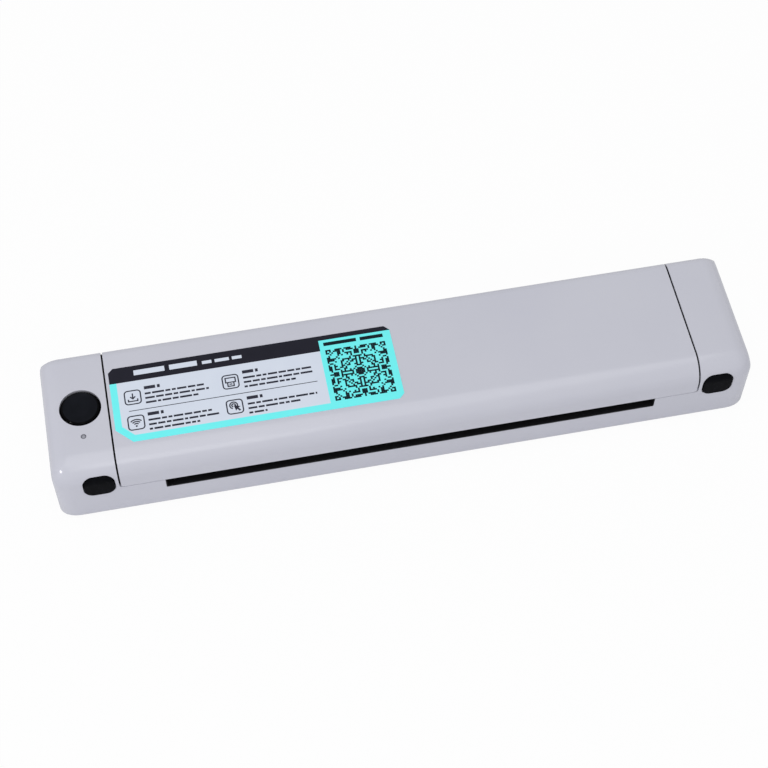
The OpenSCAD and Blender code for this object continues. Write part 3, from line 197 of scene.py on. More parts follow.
def solder_mask():
    """Glass-fibre board under green solder mask: glossy, with copper tracks as paler raised lines, 1.3 mm
    apart. They are the mortar of bricks that are measured in units of 12 mm."""
    made, tree, shader = finish("fr4_solder_mask_green", "#1F5C3B", IOR=1.5, Roughness=0.25)
    place = add(tree, "ShaderNodeTexCoord").outputs["Object"]
    tracks = add(tree, "ShaderNodeTexBrick", {
        "Vector": place, "Scale": 1 / (12 * MM), "Color1": linear("#1B5436"), "Color2": linear("#216243"),
        "Mortar": linear("#2F7A50"), "Mortar Size": 0.014, "Brick Width": 2.3, "Row Height": 0.11,
    }, offset=0.37, offset_frequency=3)
    tree.links.new(tracks.outputs["Color"], shader.inputs["Base Color"])
    grained(tree, shader, tracks.outputs["Fac"], 0.03, 0.4)
    return made


def polyimide():
    """Polyimide flat cable: amber film with copper conductors showing through as stripes about 1 mm apart."""
    made, tree, shader = finish("polyimide_film", "#B0702A", IOR=1.7, Roughness=0.2)
    place = add(tree, "ShaderNodeTexCoord").outputs["Object"]
    stripes = add(tree, "ShaderNodeTexWave", {"Vector": place, "Scale": 1 / (3.2 * MM), "Distortion": 0.0},
                  wave_type="BANDS", bands_direction="X").outputs["Fac"]
    clouded(tree, shader, stripes, "#A4631F", "#C98A3E", 0.45, 0.55)
    return made


# ABS in a pale lilac grey, out of a finely spark-eroded mould: satin, so that a lamp leaves a small soft
# highlight. The grain is about 0.1 mm on the real one and is drawn three times as coarse.
SHELL = coat("abs_lilac_grey_satin", "#CACBD7", ("#C9CAD6", "#CCCDD8", 45, 3), (0.17, 0.22, 6, 3),
             (0.006, 0.3, 0.3), IOR=1.53)
# The same ABS from a coarser mould, which leaves the bottom duller
UNDERSIDE = coat("abs_lilac_grey_dull", "#C1C2CE", ("#BEBFCB", "#C3C4D0", 30, 3), (0.5, 0.6, 4, 3),
                 (0.03, 0.5, 0.5), IOR=1.53)
# Black ABS from a matt mould, for the paper guides and the cover's inside
BLACK = coat("abs_black_matt", "#111113", ("#0F0F11", "#141416", 12, 3), (0.5, 0.62, 3, 3), (0.02, 0.5, 0.4),
             IOR=1.53, Specular_IOR_Level=0.12)
# Dull black strip in the casing's seams, with fine open pores on its cut faces: painted shade for the seams'
# gaps
SEAM_SHADE_STRIP = marked("seam_strip_black_painted_shade", "#0E0E0F", (0.35, 3), ("#0A0A0B", "#151516"), grain=(0.05, 0.8),
              IOR=1.5, Roughness=0.95, Specular_IOR_Level=0.1)
# Black ABS with a silky touch coat, on the power button's face: very dark, with a low soft gloss
SILK = coat("abs_black_silk", "#101217", ("#0F1116", "#15171D", 5, 3), (0.3, 0.38, 2, 3), (0.006, 0.35, 0.25),
            IOR=1.5, Specular_IOR_Level=0.04)
# The same black ABS on the power button's rim: near black and glossy, painted shade for the dark ring of its
# bevel
RIM_SHADE = coat("abs_black_rim_painted_shade", "#020204", ("#020203", "#040406", 4), (0.12, 0.18, 1.5),
                IOR=1.5, Specular_IOR_Level=0.03)
# Black ABS from a bright mould, on the release buttons: darker and smoother than the silky button
BRIGHT = coat("abs_black_bright", "#0B0C10", ("#0A0B0E", "#0F1014", 4, 3), (0.16, 0.26, 1.5, 3),
              (0.003, 0.3, 0.3), IOR=1.5, Specular_IOR_Level=0.015)
# Moulded nitrile rubber: dull black, a little grey where dust clings
FOOT = coat("nitrile_rubber_black", "#1B1B1D", ("#18181A", "#262627", 2.5, 4), (0.75, 0.9, 1.2, 3),
            (0.03, 0.6, 0.4), (0.35, 0.8), IOR=1.52, Specular_IOR_Level=0.25)
# Ground silicone rubber: dark grey, matt, with fine marks round the roller from the grinding wheel
ROLLER = marked("silicone_rubber_ground", "#29292B", (0.35, 3, (1, 0.02, 0.02)), ("#232325", "#2F2F31"),
                (0.6, 0.8), (0.015, 0.5), IOR=1.41)
# Turned or cold-headed steel, nickel-plated: grey, clear reflections with fine turning marks
STEEL = coat("steel_nickel_plated", "#C9C7C2", ("#C2C0BC", "#CECCC8", 4),
             (0.2, 0.32, 0.25, 2, (1, 0.05, 0.05)), Metallic=1.0)
# Zinc-plated sheet steel: cool grey, cloudy, with a soft gloss from the rolled surface
ZINC = coat("steel_zinc_plated_sheet", "#B9BDC4", ("#AEB3BB", "#C3C7CD", 5, 4), (0.32, 0.48, 1.5, 3),
            Metallic=1.0)
# Drawn music wire: dark bright steel with faint marks of the drawing die
WIRE = coat("music_wire", "#9A9A9C", ("#8E8E91", "#A6A6A8", 1.0, 3), (0.28, 0.4, 0.4), Metallic=1.0)
# Plain extruded aluminium: pale, with long die lines along the bar
ALUMINIUM = marked("aluminium_extruded", "#D4D5D8", (0.3, 3, (0.01, 1, 1)), ("#C9CACE", "#DCDDE0"),
                   (0.3, 0.45), (0.006, 0.4), Metallic=1.0)
CERAMIC = glazed_ceramic()
# Natural acetal: milky white, waxy gloss
ACETAL = coat("acetal_natural", "#E4E3DA", ("#E1E0D6", "#E8E7DF", 6), (0.32, 0.42, 1.5), IOR=1.48)
# Natural nylon of a wire plug: cream white, dull
NYLON = coat("nylon_natural", "#E6E1D2", ("#E2DDCD", "#EAE6D9", 3), (0.45, 0.55, 1), IOR=1.53)
# Filled bearing plastic: warm beige with fine dark specks of the filler
BEARING = coat("bearing_plastic_filled", "#D8CFB6", ("#CFC5AA", "#DDD5BE", 0.5, 4), (0.5, 0.62, 0.8, 3),
               ramp=(0.35, 0.5), IOR=1.5)
# Free-cutting brass, hobbed and left bare: yellow with a slight warm tarnish
BRASS = coat("brass_turned", "#D2B263", ("#C6A557", "#DBBD70", 2, 3), (0.22, 0.36, 0.3, 2, (1, 0.1, 0.1)),
             Metallic=1.0)
# Deep-drawn plated steel can of the motor: cool grey with faint lines along the draw
CAN = marked("steel_drawn_can", "#9FA3A8", (0.4, 3, (0.04, 1, 1)), ("#94989D", "#A9ADB2"), (0.3, 0.42),
             Metallic=1.0)
BOARD = solder_mask()
# Moulded epoxy component bodies: near black, matt, fine grain
EPOXY = coat("epoxy_black_moulded", "#262629", ("#232326", "#2C2C2F", 1.5, 3), (0.5, 0.65, 0.5, 3), IOR=1.5)
FLEX = polyimide()
# PVC heat-shrink sleeve on the battery: blue, glossy, slightly wavy where it shrank
WRAP = coat("pvc_shrink_wrap_blue", "#2F6AA6", ("#2B639D", "#3571AE", 9, 3),
            grain=(0.25, 0.35, 5, 2, (0.4, 1, 1)), IOR=1.53, Roughness=0.22)
# PVC wire insulation: soft gloss
RED_WIRE, BLACK_WIRE = (
    coat(name, low, (low, high, 2), (0.35, 0.45, 0.7), IOR=1.53)
    for name, low, high in (("pvc_insulation_red", "#A3322B", "#B23B33"),
                            ("pvc_insulation_black", "#1B1B1D", "#242426"))
)
# Frosted polycarbonate, unlit: grey, because the dark inside shows through it
LIGHT, LIGHT_CORE = (
    coat(name, low, (low, high, 0.8), (0.3, 0.42, 0.4), IOR=1.58, Specular_IOR_Level=0.3)
    for name, low, high in (("polycarbonate_frosted", "#6C6D77", "#757680"),
                            ("polycarbonate_frosted_core", "#9A9BA6", "#A4A5AF"))
)
PANEL = printed("label_film_pale", "#DBE3F2", "#DEE6F4", 0.3)
DARK_INK = printed("label_ink_dark", "#1D1D28", "#20202B", 0.1)
CYAN_INK = printed("label_ink_cyan", "#74FCFD", "#7AFDFE", 0.2)
TEXT_INK = printed("label_ink_text", "#2C2D3A", "#333441", 0.1)
MOSAIC_INK = printed("label_ink_mosaic", "#061921", "#091D26", 0.1)

FINISHES = {
    "housing": SHELL, "cover_shell": SHELL, "bottom_cover": UNDERSIDE, "rubber_feet": FOOT,
    "case_screws": STEEL, "hinge_pins": STEEL, "side_frame_left": ZINC, "side_frame_right": ZINC,
    "front_guide": BLACK, "rear_guide": BLACK, "cover_liner": BLACK, "head_rod": STEEL,
    "head_springs": WIRE, "head_sink": ALUMINIUM, "head_ceramic": CERAMIC, "head_flex": FLEX,
    "stepper_motor": CAN, "motor_screws": STEEL, "motor_pinion": BRASS, "double_gear": ACETAL,
    "idler_gear": ACETAL, "roller_gear": ACETAL, "gear_studs": STEEL, "control_board": BOARD,
    "board_parts": EPOXY, "board_screws": STEEL, "usb_socket": STEEL, "battery_pack": WRAP,
    "battery_lead": RED_WIRE, "button_board": BOARD, "power_switch": EPOXY, "light_pipe": LIGHT,
    "power_button": SILK, "release_button_left": BRIGHT, "release_button_right": BRIGHT,
    "release_spring_left": WIRE, "release_spring_right": WIRE, "cover_switch": EPOXY,
    "paper_sensor": EPOXY, "liner_screws": STEEL, "guide_label": PANEL, "roller_bushes": BEARING,
    # The seams' black strip is painted shade, dark where the seams' gaps are in shade
    "roller_shaft": STEEL, "feed_roller": ROLLER, "seam_strips": SEAM_SHADE_STRIP,
}
for name, node in NODES.items():
    node.data.materials.clear()
    node.data.materials.append(FINISHES[name])


# Geometry Nodes

def new_tree(name, **inputs):
    """An empty tree with its named inputs; returns the tree and the sockets that carry the inputs."""
    tree = bpy.data.node_groups.new(name, "GeometryNodeTree")
    tree.interface.new_socket("Geometry", in_out="INPUT", socket_type="NodeSocketGeometry")
    for label, kind in inputs.items():
        tree.interface.new_socket(label.replace("_", " "), in_out="INPUT", socket_type="NodeSocket" + kind)
    tree.interface.new_socket("Geometry", in_out="OUTPUT", socket_type="NodeSocketGeometry")
    return tree, add(tree, "NodeGroupInput").outputs


def close_tree(tree, geometry, material):
    """Ends a tree as the export needs it: nothing instanced, and one finish."""
    real = add(tree, "GeometryNodeRealizeInstances", {"Geometry": geometry})
    coated = add(tree, "GeometryNodeSetMaterial", {"Geometry": real.outputs[0], "Material": material})
    add(tree, "NodeGroupOutput", {"Geometry": coated.outputs[0]})
    return tree


def input_sockets(tree):
    """The identifiers of a tree's named inputs."""
    return {item.name: item.identifier for item in tree.interface.items_tree if item.in_out == "INPUT"}


def keep(name, mesh, body):
    """A piece on the given mesh that rides on a body, with the finishes its mesh carries."""
    piece = bpy.data.objects.new(name, mesh)
    bpy.context.scene.collection.objects.link(piece)
    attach(piece, body)
    return piece


def keep_form(name, form, materials, body):
    """The same for a bmesh, with the finishes that its faces number."""
    mesh = bpy.data.meshes.new(name)
    form.to_mesh(mesh)
    form.free()
    for material in materials:
        mesh.materials.append(material)
    return keep(name, mesh, body)


def grown(name, tree, points, body, slot, **inputs):
    """Runs a tree on points given in millimetres, and keeps the result as a plain mesh."""
    start = bpy.data.meshes.new(name + "_points")
    start.from_pydata([[c * MM for c in point] for point in points], [], [])
    seed = bpy.data.objects.new(name + "_points", start)
    bpy.context.scene.collection.objects.link(seed)
    grow = seed.modifiers.new("grow", "NODES")
    grow.node_group = tree
    sockets = input_sockets(tree)
    for label, value in inputs.items():
        grow[sockets[label.replace("_", " ")]] = value
    made = bpy.data.meshes.new_from_object(seed.evaluated_get(bpy.context.evaluated_depsgraph_get()))
    bpy.data.objects.remove(seed)
    return keep(name, made, body)


def joined_and_smooth():
    """Joins a node's loose triangles and shades them smooth."""
    tree, given = new_tree("joined_and_smooth", Join_Distance="Float")
    joined = add(tree, "GeometryNodeMergeByDistance",
                 {"Geometry": given["Geometry"], "Distance": given["Join Distance"]}).outputs[0]
    bare = add(tree, "GeometryNodeRemoveAttribute", {"Geometry": joined, "Name": "custom_normal"}).outputs[0]
    smooth = add(tree, "GeometryNodeSetShadeSmooth", {"Geometry": bare, "Shade Smooth": True}).outputs[0]
    add(tree, "NodeGroupOutput", {"Geometry": smooth})
    return tree


def xyz(tree, x=0.0, y=0.0, z=0.0):
    """A vector put together from numbers or sockets."""
    return add(tree, "ShaderNodeCombineXYZ", {"X": x, "Y": y, "Z": z}).outputs[0]


def position(tree):
    """The three parts of each vertex's place."""
    place = add(tree, "GeometryNodeInputPosition").outputs[0]
    return add(tree, "ShaderNodeSeparateXYZ", {"Vector": place}).outputs


def on_points(tree, given, instance, **more):
    """Copies of a form, one on each point the tree is run on."""
    inputs = {"Points": given["Geometry"], "Instance": instance, **more}
    return add(tree, "GeometryNodeInstanceOnPoints", inputs).outputs[0]


def coil_springs():
    """A compression spring on each point, which stands along +Z before its aim: wire on a helix whose first
    and last turns lie closed, as on a ground spring."""
    tree, given = new_tree("compression_springs", Mean_Radius="Float", Wire_Radius="Float", Length="Float",
                           Turns="Float", Closed_Pitch="Float", Open_Pitch="Float", Aim="Vector",
                           Finish="Material")
    helix = add(tree, "GeometryNodeCurveSpiral", {
        "Resolution": 28, "Rotations": given["Turns"], "Start Radius": given["Mean Radius"],
        "End Radius": given["Mean Radius"], "Height": given["Length"],
    }).outputs["Curve"]
    factor = add(tree, "GeometryNodeSplineParameter").outputs["Factor"]
    turn = maths(tree, "MULTIPLY", factor, given["Turns"])
    last = maths(tree, "SUBTRACT", given["Turns"], 1.0)
    inner = maths(tree, "MINIMUM", maths(tree, "MAXIMUM", turn, 1.0), last)
    inner = maths(tree, "SUBTRACT", inner, 1.0)
    outer = maths(tree, "SUBTRACT", turn, inner)
    closed = maths(tree, "MULTIPLY", outer, given["Closed Pitch"])
    rise = maths(tree, "MULTIPLY_ADD", inner, given["Open Pitch"], closed)
    rise = maths(tree, "ADD", rise, given["Wire Radius"])
    flat = position(tree)
    wound = add(tree, "GeometryNodeSetPosition",
                {"Geometry": helix, "Position": xyz(tree, flat["X"], flat["Y"], rise)}).outputs[0]
    section = add(tree, "GeometryNodeCurvePrimitiveCircle",
                  {"Resolution": 10, "Radius": given["Wire Radius"]}).outputs["Curve"]
    wire = add(tree, "GeometryNodeCurveToMesh",
               {"Curve": wound, "Profile Curve": section, "Fill Caps": True}).outputs["Mesh"]
    return close_tree(tree, on_points(tree, given, wire, Rotation=given["Aim"]), given["Finish"])


DOME = 1.7              # a ball stretched by this, then cut flat above and below, is the head
RECESS_ARM = 4.2        # the recess's length in its widths
RECESS_DEPTH = 1.2      # its cutters' height in head heights, half of which is in the head
THREADED = 0.9          # share of the shank that has a thread
JOIN = 0.0001 * MM      # points nearer than this are one point


def pan_screws():
    """A self-tapping pan-head screw on each point, whose head's top is on the point and whose shank goes
    along +Z before its aim: rounded head, cross recess, and a sharp thread wound on a plain core."""
    tree, given = new_tree("self_tapping_screws", Head_Radius="Float", Head_Height="Float",
                           Root_Radius="Float", Thread_Height="Float", Pitch="Float", Length="Float",
                           Recess_Width="Float", Aim="Vector", Finish="Material")
    ball = add(tree, "GeometryNodeMeshUVSphere", {"Segments": 32, "Rings": 14, "Radius": 1.0}).outputs["Mesh"]
    parts = position(tree)
    across = [maths(tree, "MULTIPLY", parts[axis], given["Head Radius"]) for axis in "XY"]
    half = maths(tree, "MULTIPLY", given["Head Height"], 0.5)
    level = maths(tree, "MAXIMUM", maths(tree, "MULTIPLY", parts["Z"], DOME), -1.0)
    level = maths(tree, "MULTIPLY_ADD", maths(tree, "MINIMUM", level, 1.0), half, half)
    head = add(tree, "GeometryNodeSetPosition",
               {"Geometry": ball, "Position": xyz(tree, *across, level)}).outputs[0]
    width = given["Recess Width"]
    arm = maths(tree, "MULTIPLY", width, RECESS_ARM)
    deep = maths(tree, "MULTIPLY", given["Head Height"], RECESS_DEPTH)
    cut = add(tree, "GeometryNodeMeshBoolean", {"Mesh 1": head}, operation="DIFFERENCE", solver="EXACT")
    for sides in ((arm, width), (width, arm)):
        cutter = add(tree, "GeometryNodeMeshCube", {"Size": xyz(tree, *sides, deep)}).outputs["Mesh"]
        tree.links.new(cutter, cut.inputs["Mesh 2"])
    head = add(tree, "GeometryNodeMergeByDistance",
               {"Geometry": cut.outputs["Mesh"], "Distance": JOIN}).outputs[0]
    shank = maths(tree, "SUBTRACT", given["Length"], half)
    core = add(tree, "GeometryNodeMeshCylinder",
               {"Vertices": 20, "Radius": given["Root Radius"], "Depth": shank}).outputs["Mesh"]
    middle = maths(tree, "MULTIPLY_ADD", shank, 0.5, half)
    core = add(tree, "GeometryNodeTransform",
               {"Geometry": core, "Translation": xyz(tree, z=middle)}).outputs[0]
    curls = maths(tree, "MULTIPLY", maths(tree, "DIVIDE", shank, given["Pitch"]), THREADED)
    winding = add(tree, "GeometryNodeCurveSpiral", {
        "Resolution": 16, "Rotations": curls, "Start Radius": given["Root Radius"],
        "End Radius": given["Root Radius"], "Height": maths(tree, "MULTIPLY", curls, given["Pitch"]),
    }).outputs["Curve"]
    ridge = add(tree, "GeometryNodeCurvePrimitiveCircle",
                {"Resolution": 4, "Radius": given["Thread Height"]}).outputs["Curve"]
    upright = add(tree, "GeometryNodeSetCurveNormal", {"Curve": winding}).outputs[0]
    thread = add(tree, "GeometryNodeCurveToMesh",
                 {"Curve": upright, "Profile Curve": ridge, "Fill Caps": True}).outputs["Mesh"]
    thread = add(tree, "GeometryNodeTransform",
                 {"Geometry": thread, "Translation": xyz(tree, z=half)}).outputs[0]
    whole = add(tree, "GeometryNodeJoinGeometry")
    for part in (head, core, thread):
        tree.links.new(part, whole.inputs["Geometry"])
    return close_tree(tree, on_points(tree, given, whole.outputs[0], Rotation=given["Aim"]), given["Finish"])


RING_STEP, DIAGONAL_STEP = 7.0, 5.0     # divisors that set how coarse the mosaic's rings and diagonals are
TILE_FILL = 0.985                       # a tile's side in tile sizes, so that neighbours stay apart


def mosaic_tiles():
    """An even mosaic on each point: a square of small dark tiles, whose pattern is the same in all four
    quarters and says nothing. A tile lies where floor((a2 + b2) / RING_STEP) + floor(a b / DIAGONAL_STEP) is
    even, a and b being its steps from the middle."""
    tree, given = new_tree("mosaic_tiles", Tiles_Across="Int", Tile_Size="Float", Thickness="Float",
                           Finish="Material")
    across, tile_size = given["Tiles Across"], given["Tile Size"]
    span = maths(tree, "MULTIPLY", maths(tree, "SUBTRACT", across, 1.0), tile_size)
    grid = add(tree, "GeometryNodeMeshGrid",
               {"Size X": span, "Size Y": span, "Vertices X": across, "Vertices Y": across}).outputs["Mesh"]
    parts = position(tree)
    a, b = [maths(tree, "ROUND", maths(tree, "ABSOLUTE", maths(tree, "DIVIDE", parts[axis], tile_size)))
            for axis in "XY"]
    rings = maths(tree, "MULTIPLY_ADD", b, b, maths(tree, "MULTIPLY", a, a))
    rings = maths(tree, "FLOOR", maths(tree, "DIVIDE", rings, RING_STEP))
    diagonals = maths(tree, "DIVIDE", maths(tree, "MULTIPLY", a, b), DIAGONAL_STEP)
    total = maths(tree, "ADD", rings, maths(tree, "FLOOR", diagonals))
    even = maths(tree, "LESS_THAN", maths(tree, "MODULO", total, 2.0), 0.5)
    side = maths(tree, "MULTIPLY", tile_size, TILE_FILL)
    tile = add(tree, "GeometryNodeMeshCube",
               {"Size": xyz(tree, side, side, given["Thickness"])}).outputs["Mesh"]
    tiles = add(tree, "GeometryNodeInstanceOnPoints",
                {"Points": grid, "Selection": even, "Instance": tile}).outputs[0]
    return close_tree(tree, on_points(tree, given, tiles), given["Finish"])


def small_blocks():
    """A small block that stands on each point."""
    tree, given = new_tree("small_blocks", Size="Vector", Finish="Material")
    height = add(tree, "ShaderNodeSeparateXYZ", {"Vector": given["Size"]}).outputs["Z"]
    half = maths(tree, "MULTIPLY", height, 0.5)
    block = add(tree, "GeometryNodeMeshCube", {"Size": given["Size"]}).outputs["Mesh"]
    block = add(tree, "GeometryNodeTransform",
                {"Geometry": block, "Translation": xyz(tree, z=half)}).outputs[0]
    return close_tree(tree, on_points(tree, given, block), given["Finish"])


# Edge radii on the moulded and turned nodes

JOINED = joined_and_smooth()
TRIANGLE_GAP = 0.002    # millimetres
FLAT_ANGLE = 0.6        # degrees; faces that differ by less are one flat face
SHARP_ANGLE = 32        # degrees; edges that turn by more get the radius


def round_edges(name, radius):
    """Gives a node's edges a small radius, in millimetres, without changing its own mesh."""
    node = NODES[name]
    joined = node.modifiers.new("joined", "NODES")
    joined.node_group = JOINED
    joined[input_sockets(JOINED)["Join Distance"]] = TRIANGLE_GAP * MM
    flat = node.modifiers.new("flat faces", "DECIMATE")
    flat.decimate_type = "DISSOLVE"
    flat.angle_limit = math.radians(FLAT_ANGLE)
    edge = node.modifiers.new("edge radius", "BEVEL")
    edge.width = radius * MM
    edge.segments = 2
    edge.limit_method = "ANGLE"
    edge.angle_limit = math.radians(SHARP_ANGLE)
    edge.harden_normals = True
    edge.use_clamp_overlap = True
    seam = node.modifiers.new("closed seams", "WELD")
    seam.merge_threshold = JOIN


EDGE_RADII = {
    "housing": 0.2, "cover_shell": 0.2, "bottom_cover": 0.2, "front_guide": 0.15, "rear_guide": 0.15,
    "cover_liner": 0.15, "release_button_left": 0.5, "release_button_right": 0.5, "feed_roller": 0.3,
    "head_sink": 0.15, "rubber_feet": 0.2, "stepper_motor": 0.4,
}
for name, radius in EDGE_RADII.items():
    round_edges(name, radius)


# Floor, world and lamps

FLOOR_WHITE = 0.95      # what the camera sees of the floor, where the background is 1
WORLD_LEVEL = 0.55      # the world's light on matt surfaces
FLOOR_HALF = 6.0        # metres


def white_paper():
    """Matt paper under the lamps, and nearly the background's white to the camera."""
    paper = bpy.data.materials.new("floor_white")
    paper.use_nodes = True
    tree = paper.node_tree
    tree.nodes.clear()
    matt = add(tree, "ShaderNodeBsdfDiffuse", {"Color": linear("#F2F2F4")}).outputs["BSDF"]
    white = add(tree, "ShaderNodeEmission", {"Color": (1, 1, 1, 1), "Strength": 1.0}).outputs["Emission"]
    rays = add(tree, "ShaderNodeLightPath").outputs
    seen = maths(tree, "MULTIPLY", rays["Is Camera Ray"], FLOOR_WHITE)
    mixed = add(tree, "ShaderNodeMixShader", {0: seen, 1: matt, 2: white})
    add(tree, "ShaderNodeOutputMaterial", {"Surface": mixed.outputs["Shader"]})
    return paper


def make_floor():
    """A plain square, so large that its edges are out of sight."""
    mesh = bpy.data.meshes.new("floor")
    corners = [(x * FLOOR_HALF, y * FLOOR_HALF, 0) for x, y in ((-1, -1), (1, -1), (1, 1), (-1, 1))]
    mesh.from_pydata(corners, [], [(0, 1, 2, 3)])
    mesh.materials.append(white_paper())
    floor = bpy.data.objects.new("floor", mesh)
    bpy.context.scene.collection.objects.link(floor)


def make_world():
    """White to the camera, to gloss and to glass, and dimmer to matt surfaces."""
    world = bpy.data.worlds.new("studio")
    bpy.context.scene.world = world
    world.use_nodes = True
    tree = world.node_tree
    tree.nodes.clear()
    rays = add(tree, "ShaderNodeLightPath").outputs
    seen = maths(tree, "MAXIMUM", rays["Is Camera Ray"], rays["Is Glossy Ray"])
    seen = maths(tree, "MAXIMUM", seen, rays["Is Transmission Ray"])
    level = add(tree, "ShaderNodeMapRange", {"Value": seen, "To Min": WORLD_LEVEL, "To Max": 1.0})
    sky = add(tree, "ShaderNodeBackground", {"Color": (1, 1, 1, 1), "Strength": level.outputs["Result"]})
    add(tree, "ShaderNodeOutputWorld", {"Surface": sky.outputs["Background"]})


def lamp(name, place, aim, size, power):
    """A square soft lamp; place, aim and size in millimetres, power in watts."""
    light = bpy.data.lights.new(name, "AREA")
    light.shape = "SQUARE"
    light.size = size * MM
    light.energy = power
    holder = bpy.data.objects.new(name, light)
    place = Vector(place) * MM
    way = place - Vector(aim) * MM
    holder.matrix_world = Matrix.Translation(place) @ way.to_track_quat("Z", "Y").to_matrix().to_4x4()
    bpy.context.scene.collection.objects.link(holder)


make_floor()
make_world()
lamp("overhead", (-100, -210, 1150), (0, 0, 20), 1160, 4.2)
lamp("front", (-150, -900, 900), (0, 0, 20), 400, 0.95)
lamp("corner spark", (-870, -413, 412), (-150, -26, 34), 90, 1.15)


# Printed label. Places on it are in millimetres from its lower left corner.

LABEL_LOW, LABEL_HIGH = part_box("guide_label")
LABEL_L = (LABEL_HIGH.x - LABEL_LOW.x) / MM
LABEL_D = (LABEL_HIGH.y - LABEL_LOW.y) / MM
FILM_TOP = LABEL_HIGH.z / MM
INK = 0.02              # the inks' thickness
TOP_LEFT, LOW_LEFT, LOW_RIGHT, TOP_RIGHT = 2.1, 7.0, 2.4, 2.3     # how far the label's corners are cut
HEADER_LOW = 30.7       # the dark header's lower edge, from the left up to HEADER_END
HEADER_END = 92.9
BAND_LOW = 36.2         # its lower edge from there on, over the code block
SIDE_STRIP = 3.0        # the width of the cyan strip at the left, and of the one along the bottom
BOTTOM_STRIP = 3.3
BLOCK_START = 92.7      # the code block's cyan ground is from here to the right edge
LINE = 0.56             # the signs' line thickness


def inked(name, outlines, ink, above=INK, lines=()):
    """One printed layer, made of closed outlines and of lines as line() gives them. Its face stands above
    millimetres over the film."""
    form = bmesh.new()
    low, high = FILM_TOP - INK, FILM_TOP + above

    def corner(place, z):
        return form.verts.new((LABEL_LOW.x + place[0] * MM, LABEL_LOW.y + place[1] * MM, z * MM))

    for outline in outlines:
        lower, upper = [[corner(place, z) for place in outline] for z in (low, high)]
        form.faces.new(lower)
        form.faces.new(upper)
        for k in range(len(outline)):
            form.faces.new((lower[k - 1], lower[k], upper[k], upper[k - 1]))
    for sides, closed in lines:
        rings = [[corner(left, low), corner(right, low), corner(right, high), corner(left, high)]
                 for left, right in sides]
        spans = list(zip(rings, rings[1:]))
        if closed:
            spans.append((rings[-1], rings[0]))
        else:
            form.faces.new(rings[0])
            form.faces.new(rings[-1])
        for a, b in spans:
            for k in range(4):
                form.faces.new((a[k - 1], a[k], b[k], b[k - 1]))
    bmesh.ops.recalc_face_normals(form, faces=form.faces)
    return keep_form(name, form, [ink], "cover")


def bar(u0, v0, u1, v1):
    return [(u0, v0), (u1, v0), (u1, v1), (u0, v1)]


def bars(spans, low, high):
    """Bars side by side, each from one end to the other."""
    return [bar(start, low, end, high) for start, end in spans]


def arc(u, v, radius, start, end, steps=8):
    """Points on an arc, between two angles in degrees."""
    turns = [math.radians(start + (end - start) * i / steps) for i in range(steps + 1)]
    return [(u + radius * math.cos(t), v + radius * math.sin(t)) for t in turns]


def line(points, closed=False):
    """A mitred line through the points: pairs of places on its two sides, and whether it closes on itself."""
    count = len(points)
    sides = []
    for i, point in enumerate(points):
        here = Vector(point)
        before = Vector(points[i - 1]) if closed or i else None
        after = Vector(points[(i + 1) % count]) if closed or i < count - 1 else None
        steps = [(a, b) for a, b in ((before, here), (here, after)) if a is not None and b is not None]
        ways = [(b - a).normalized() for a, b in steps]
        middle = sum(ways, Vector((0, 0))).normalized()
        half = LINE / 2 / max(0.4, middle.dot(ways[0]))
        across = Vector((-middle.y, middle.x)) * half
        sides.append((here + across, here - across))
    return sides, closed


def drawn(place, points, closed=False):
    """A line through points that are given from a place."""
    return line([(place[0] + u, place[1] + v) for u, v in points], closed)


def rounded_frame(u, v, size, radius=1.4):
    """A rounded square's line, from its lower left corner."""
    near, far = radius, size - radius
    points = []
    for cu, cv, start in ((far, near, -90), (far, far, 0), (near, far, 90), (near, near, 180)):
        points += arc(u + cu, v + cv, radius, start, start + 90, 4)
    return line(points, closed=True)


inked("label_header", [[
    (0, HEADER_LOW), (HEADER_END, HEADER_LOW), (HEADER_END, BAND_LOW), (LABEL_L, BAND_LOW),
    (LABEL_L, LABEL_D - TOP_RIGHT), (LABEL_L - TOP_RIGHT, LABEL_D), (TOP_LEFT, LABEL_D),
    (0, LABEL_D - TOP_LEFT),
]], DARK_INK)
inked("label_border", [[
    (0, HEADER_LOW), (0, LOW_LEFT), (LOW_LEFT, 0), (LABEL_L - LOW_RIGHT, 0), (LABEL_L, LOW_RIGHT),
    (LABEL_L, BAND_LOW), (HEADER_END, BAND_LOW), (HEADER_END, HEADER_LOW), (BLOCK_START, HEADER_LOW),
    (BLOCK_START, BOTTOM_STRIP), (LOW_LEFT + 1.0, BOTTOM_STRIP), (SIDE_STRIP, LOW_LEFT + 1.3),
    (SIDE_STRIP, HEADER_LOW),
]], CYAN_INK)
title_bars = bars(((11.0, 24.5), (26.6, 38.8)), 33.5, 36.1)
title_bars += bars(((41.0, 45.2), (46.6, 52.9), (54.2, 58.5)), 33.7, 35.3)
inked("label_title_bars", title_bars, PANEL, 2 * INK)
inked("label_caption_bars", bars(((94.8, 109.4), (111.1, 121.4)), 33.0, 34.8), MOSAIC_INK, 2 * INK)


# The four steps' text, as plain bars of word length

WORD_LENGTHS = (3.1, 2.0, 4.6, 1.4, 3.8, 2.6, 5.2, 2.2, 1.7, 4.1, 3.3)
WORD_SPACE = 0.6
TEXT_HALF = 0.475       # half the small print's height
HEADING_HALF = 0.8
FIRST_DROP = 3.0        # from a heading's middle to the first line's
LINE_DROP = 2.3
LEFT, RIGHT = 14.5, 57.5
UPPER, LOWER = 26.3, 12.7


def words(u, v, end, start):
    """Bars from u to end, which stand where a line of small print is."""
    made = []
    while u < end - WORD_SPACE:
        length = min(WORD_LENGTHS[start % len(WORD_LENGTHS)], end - u)
        made.append(bar(u, v - TEXT_HALF, u + length, v + TEXT_HALF))
        u += length + WORD_SPACE
        start += 1
    return made


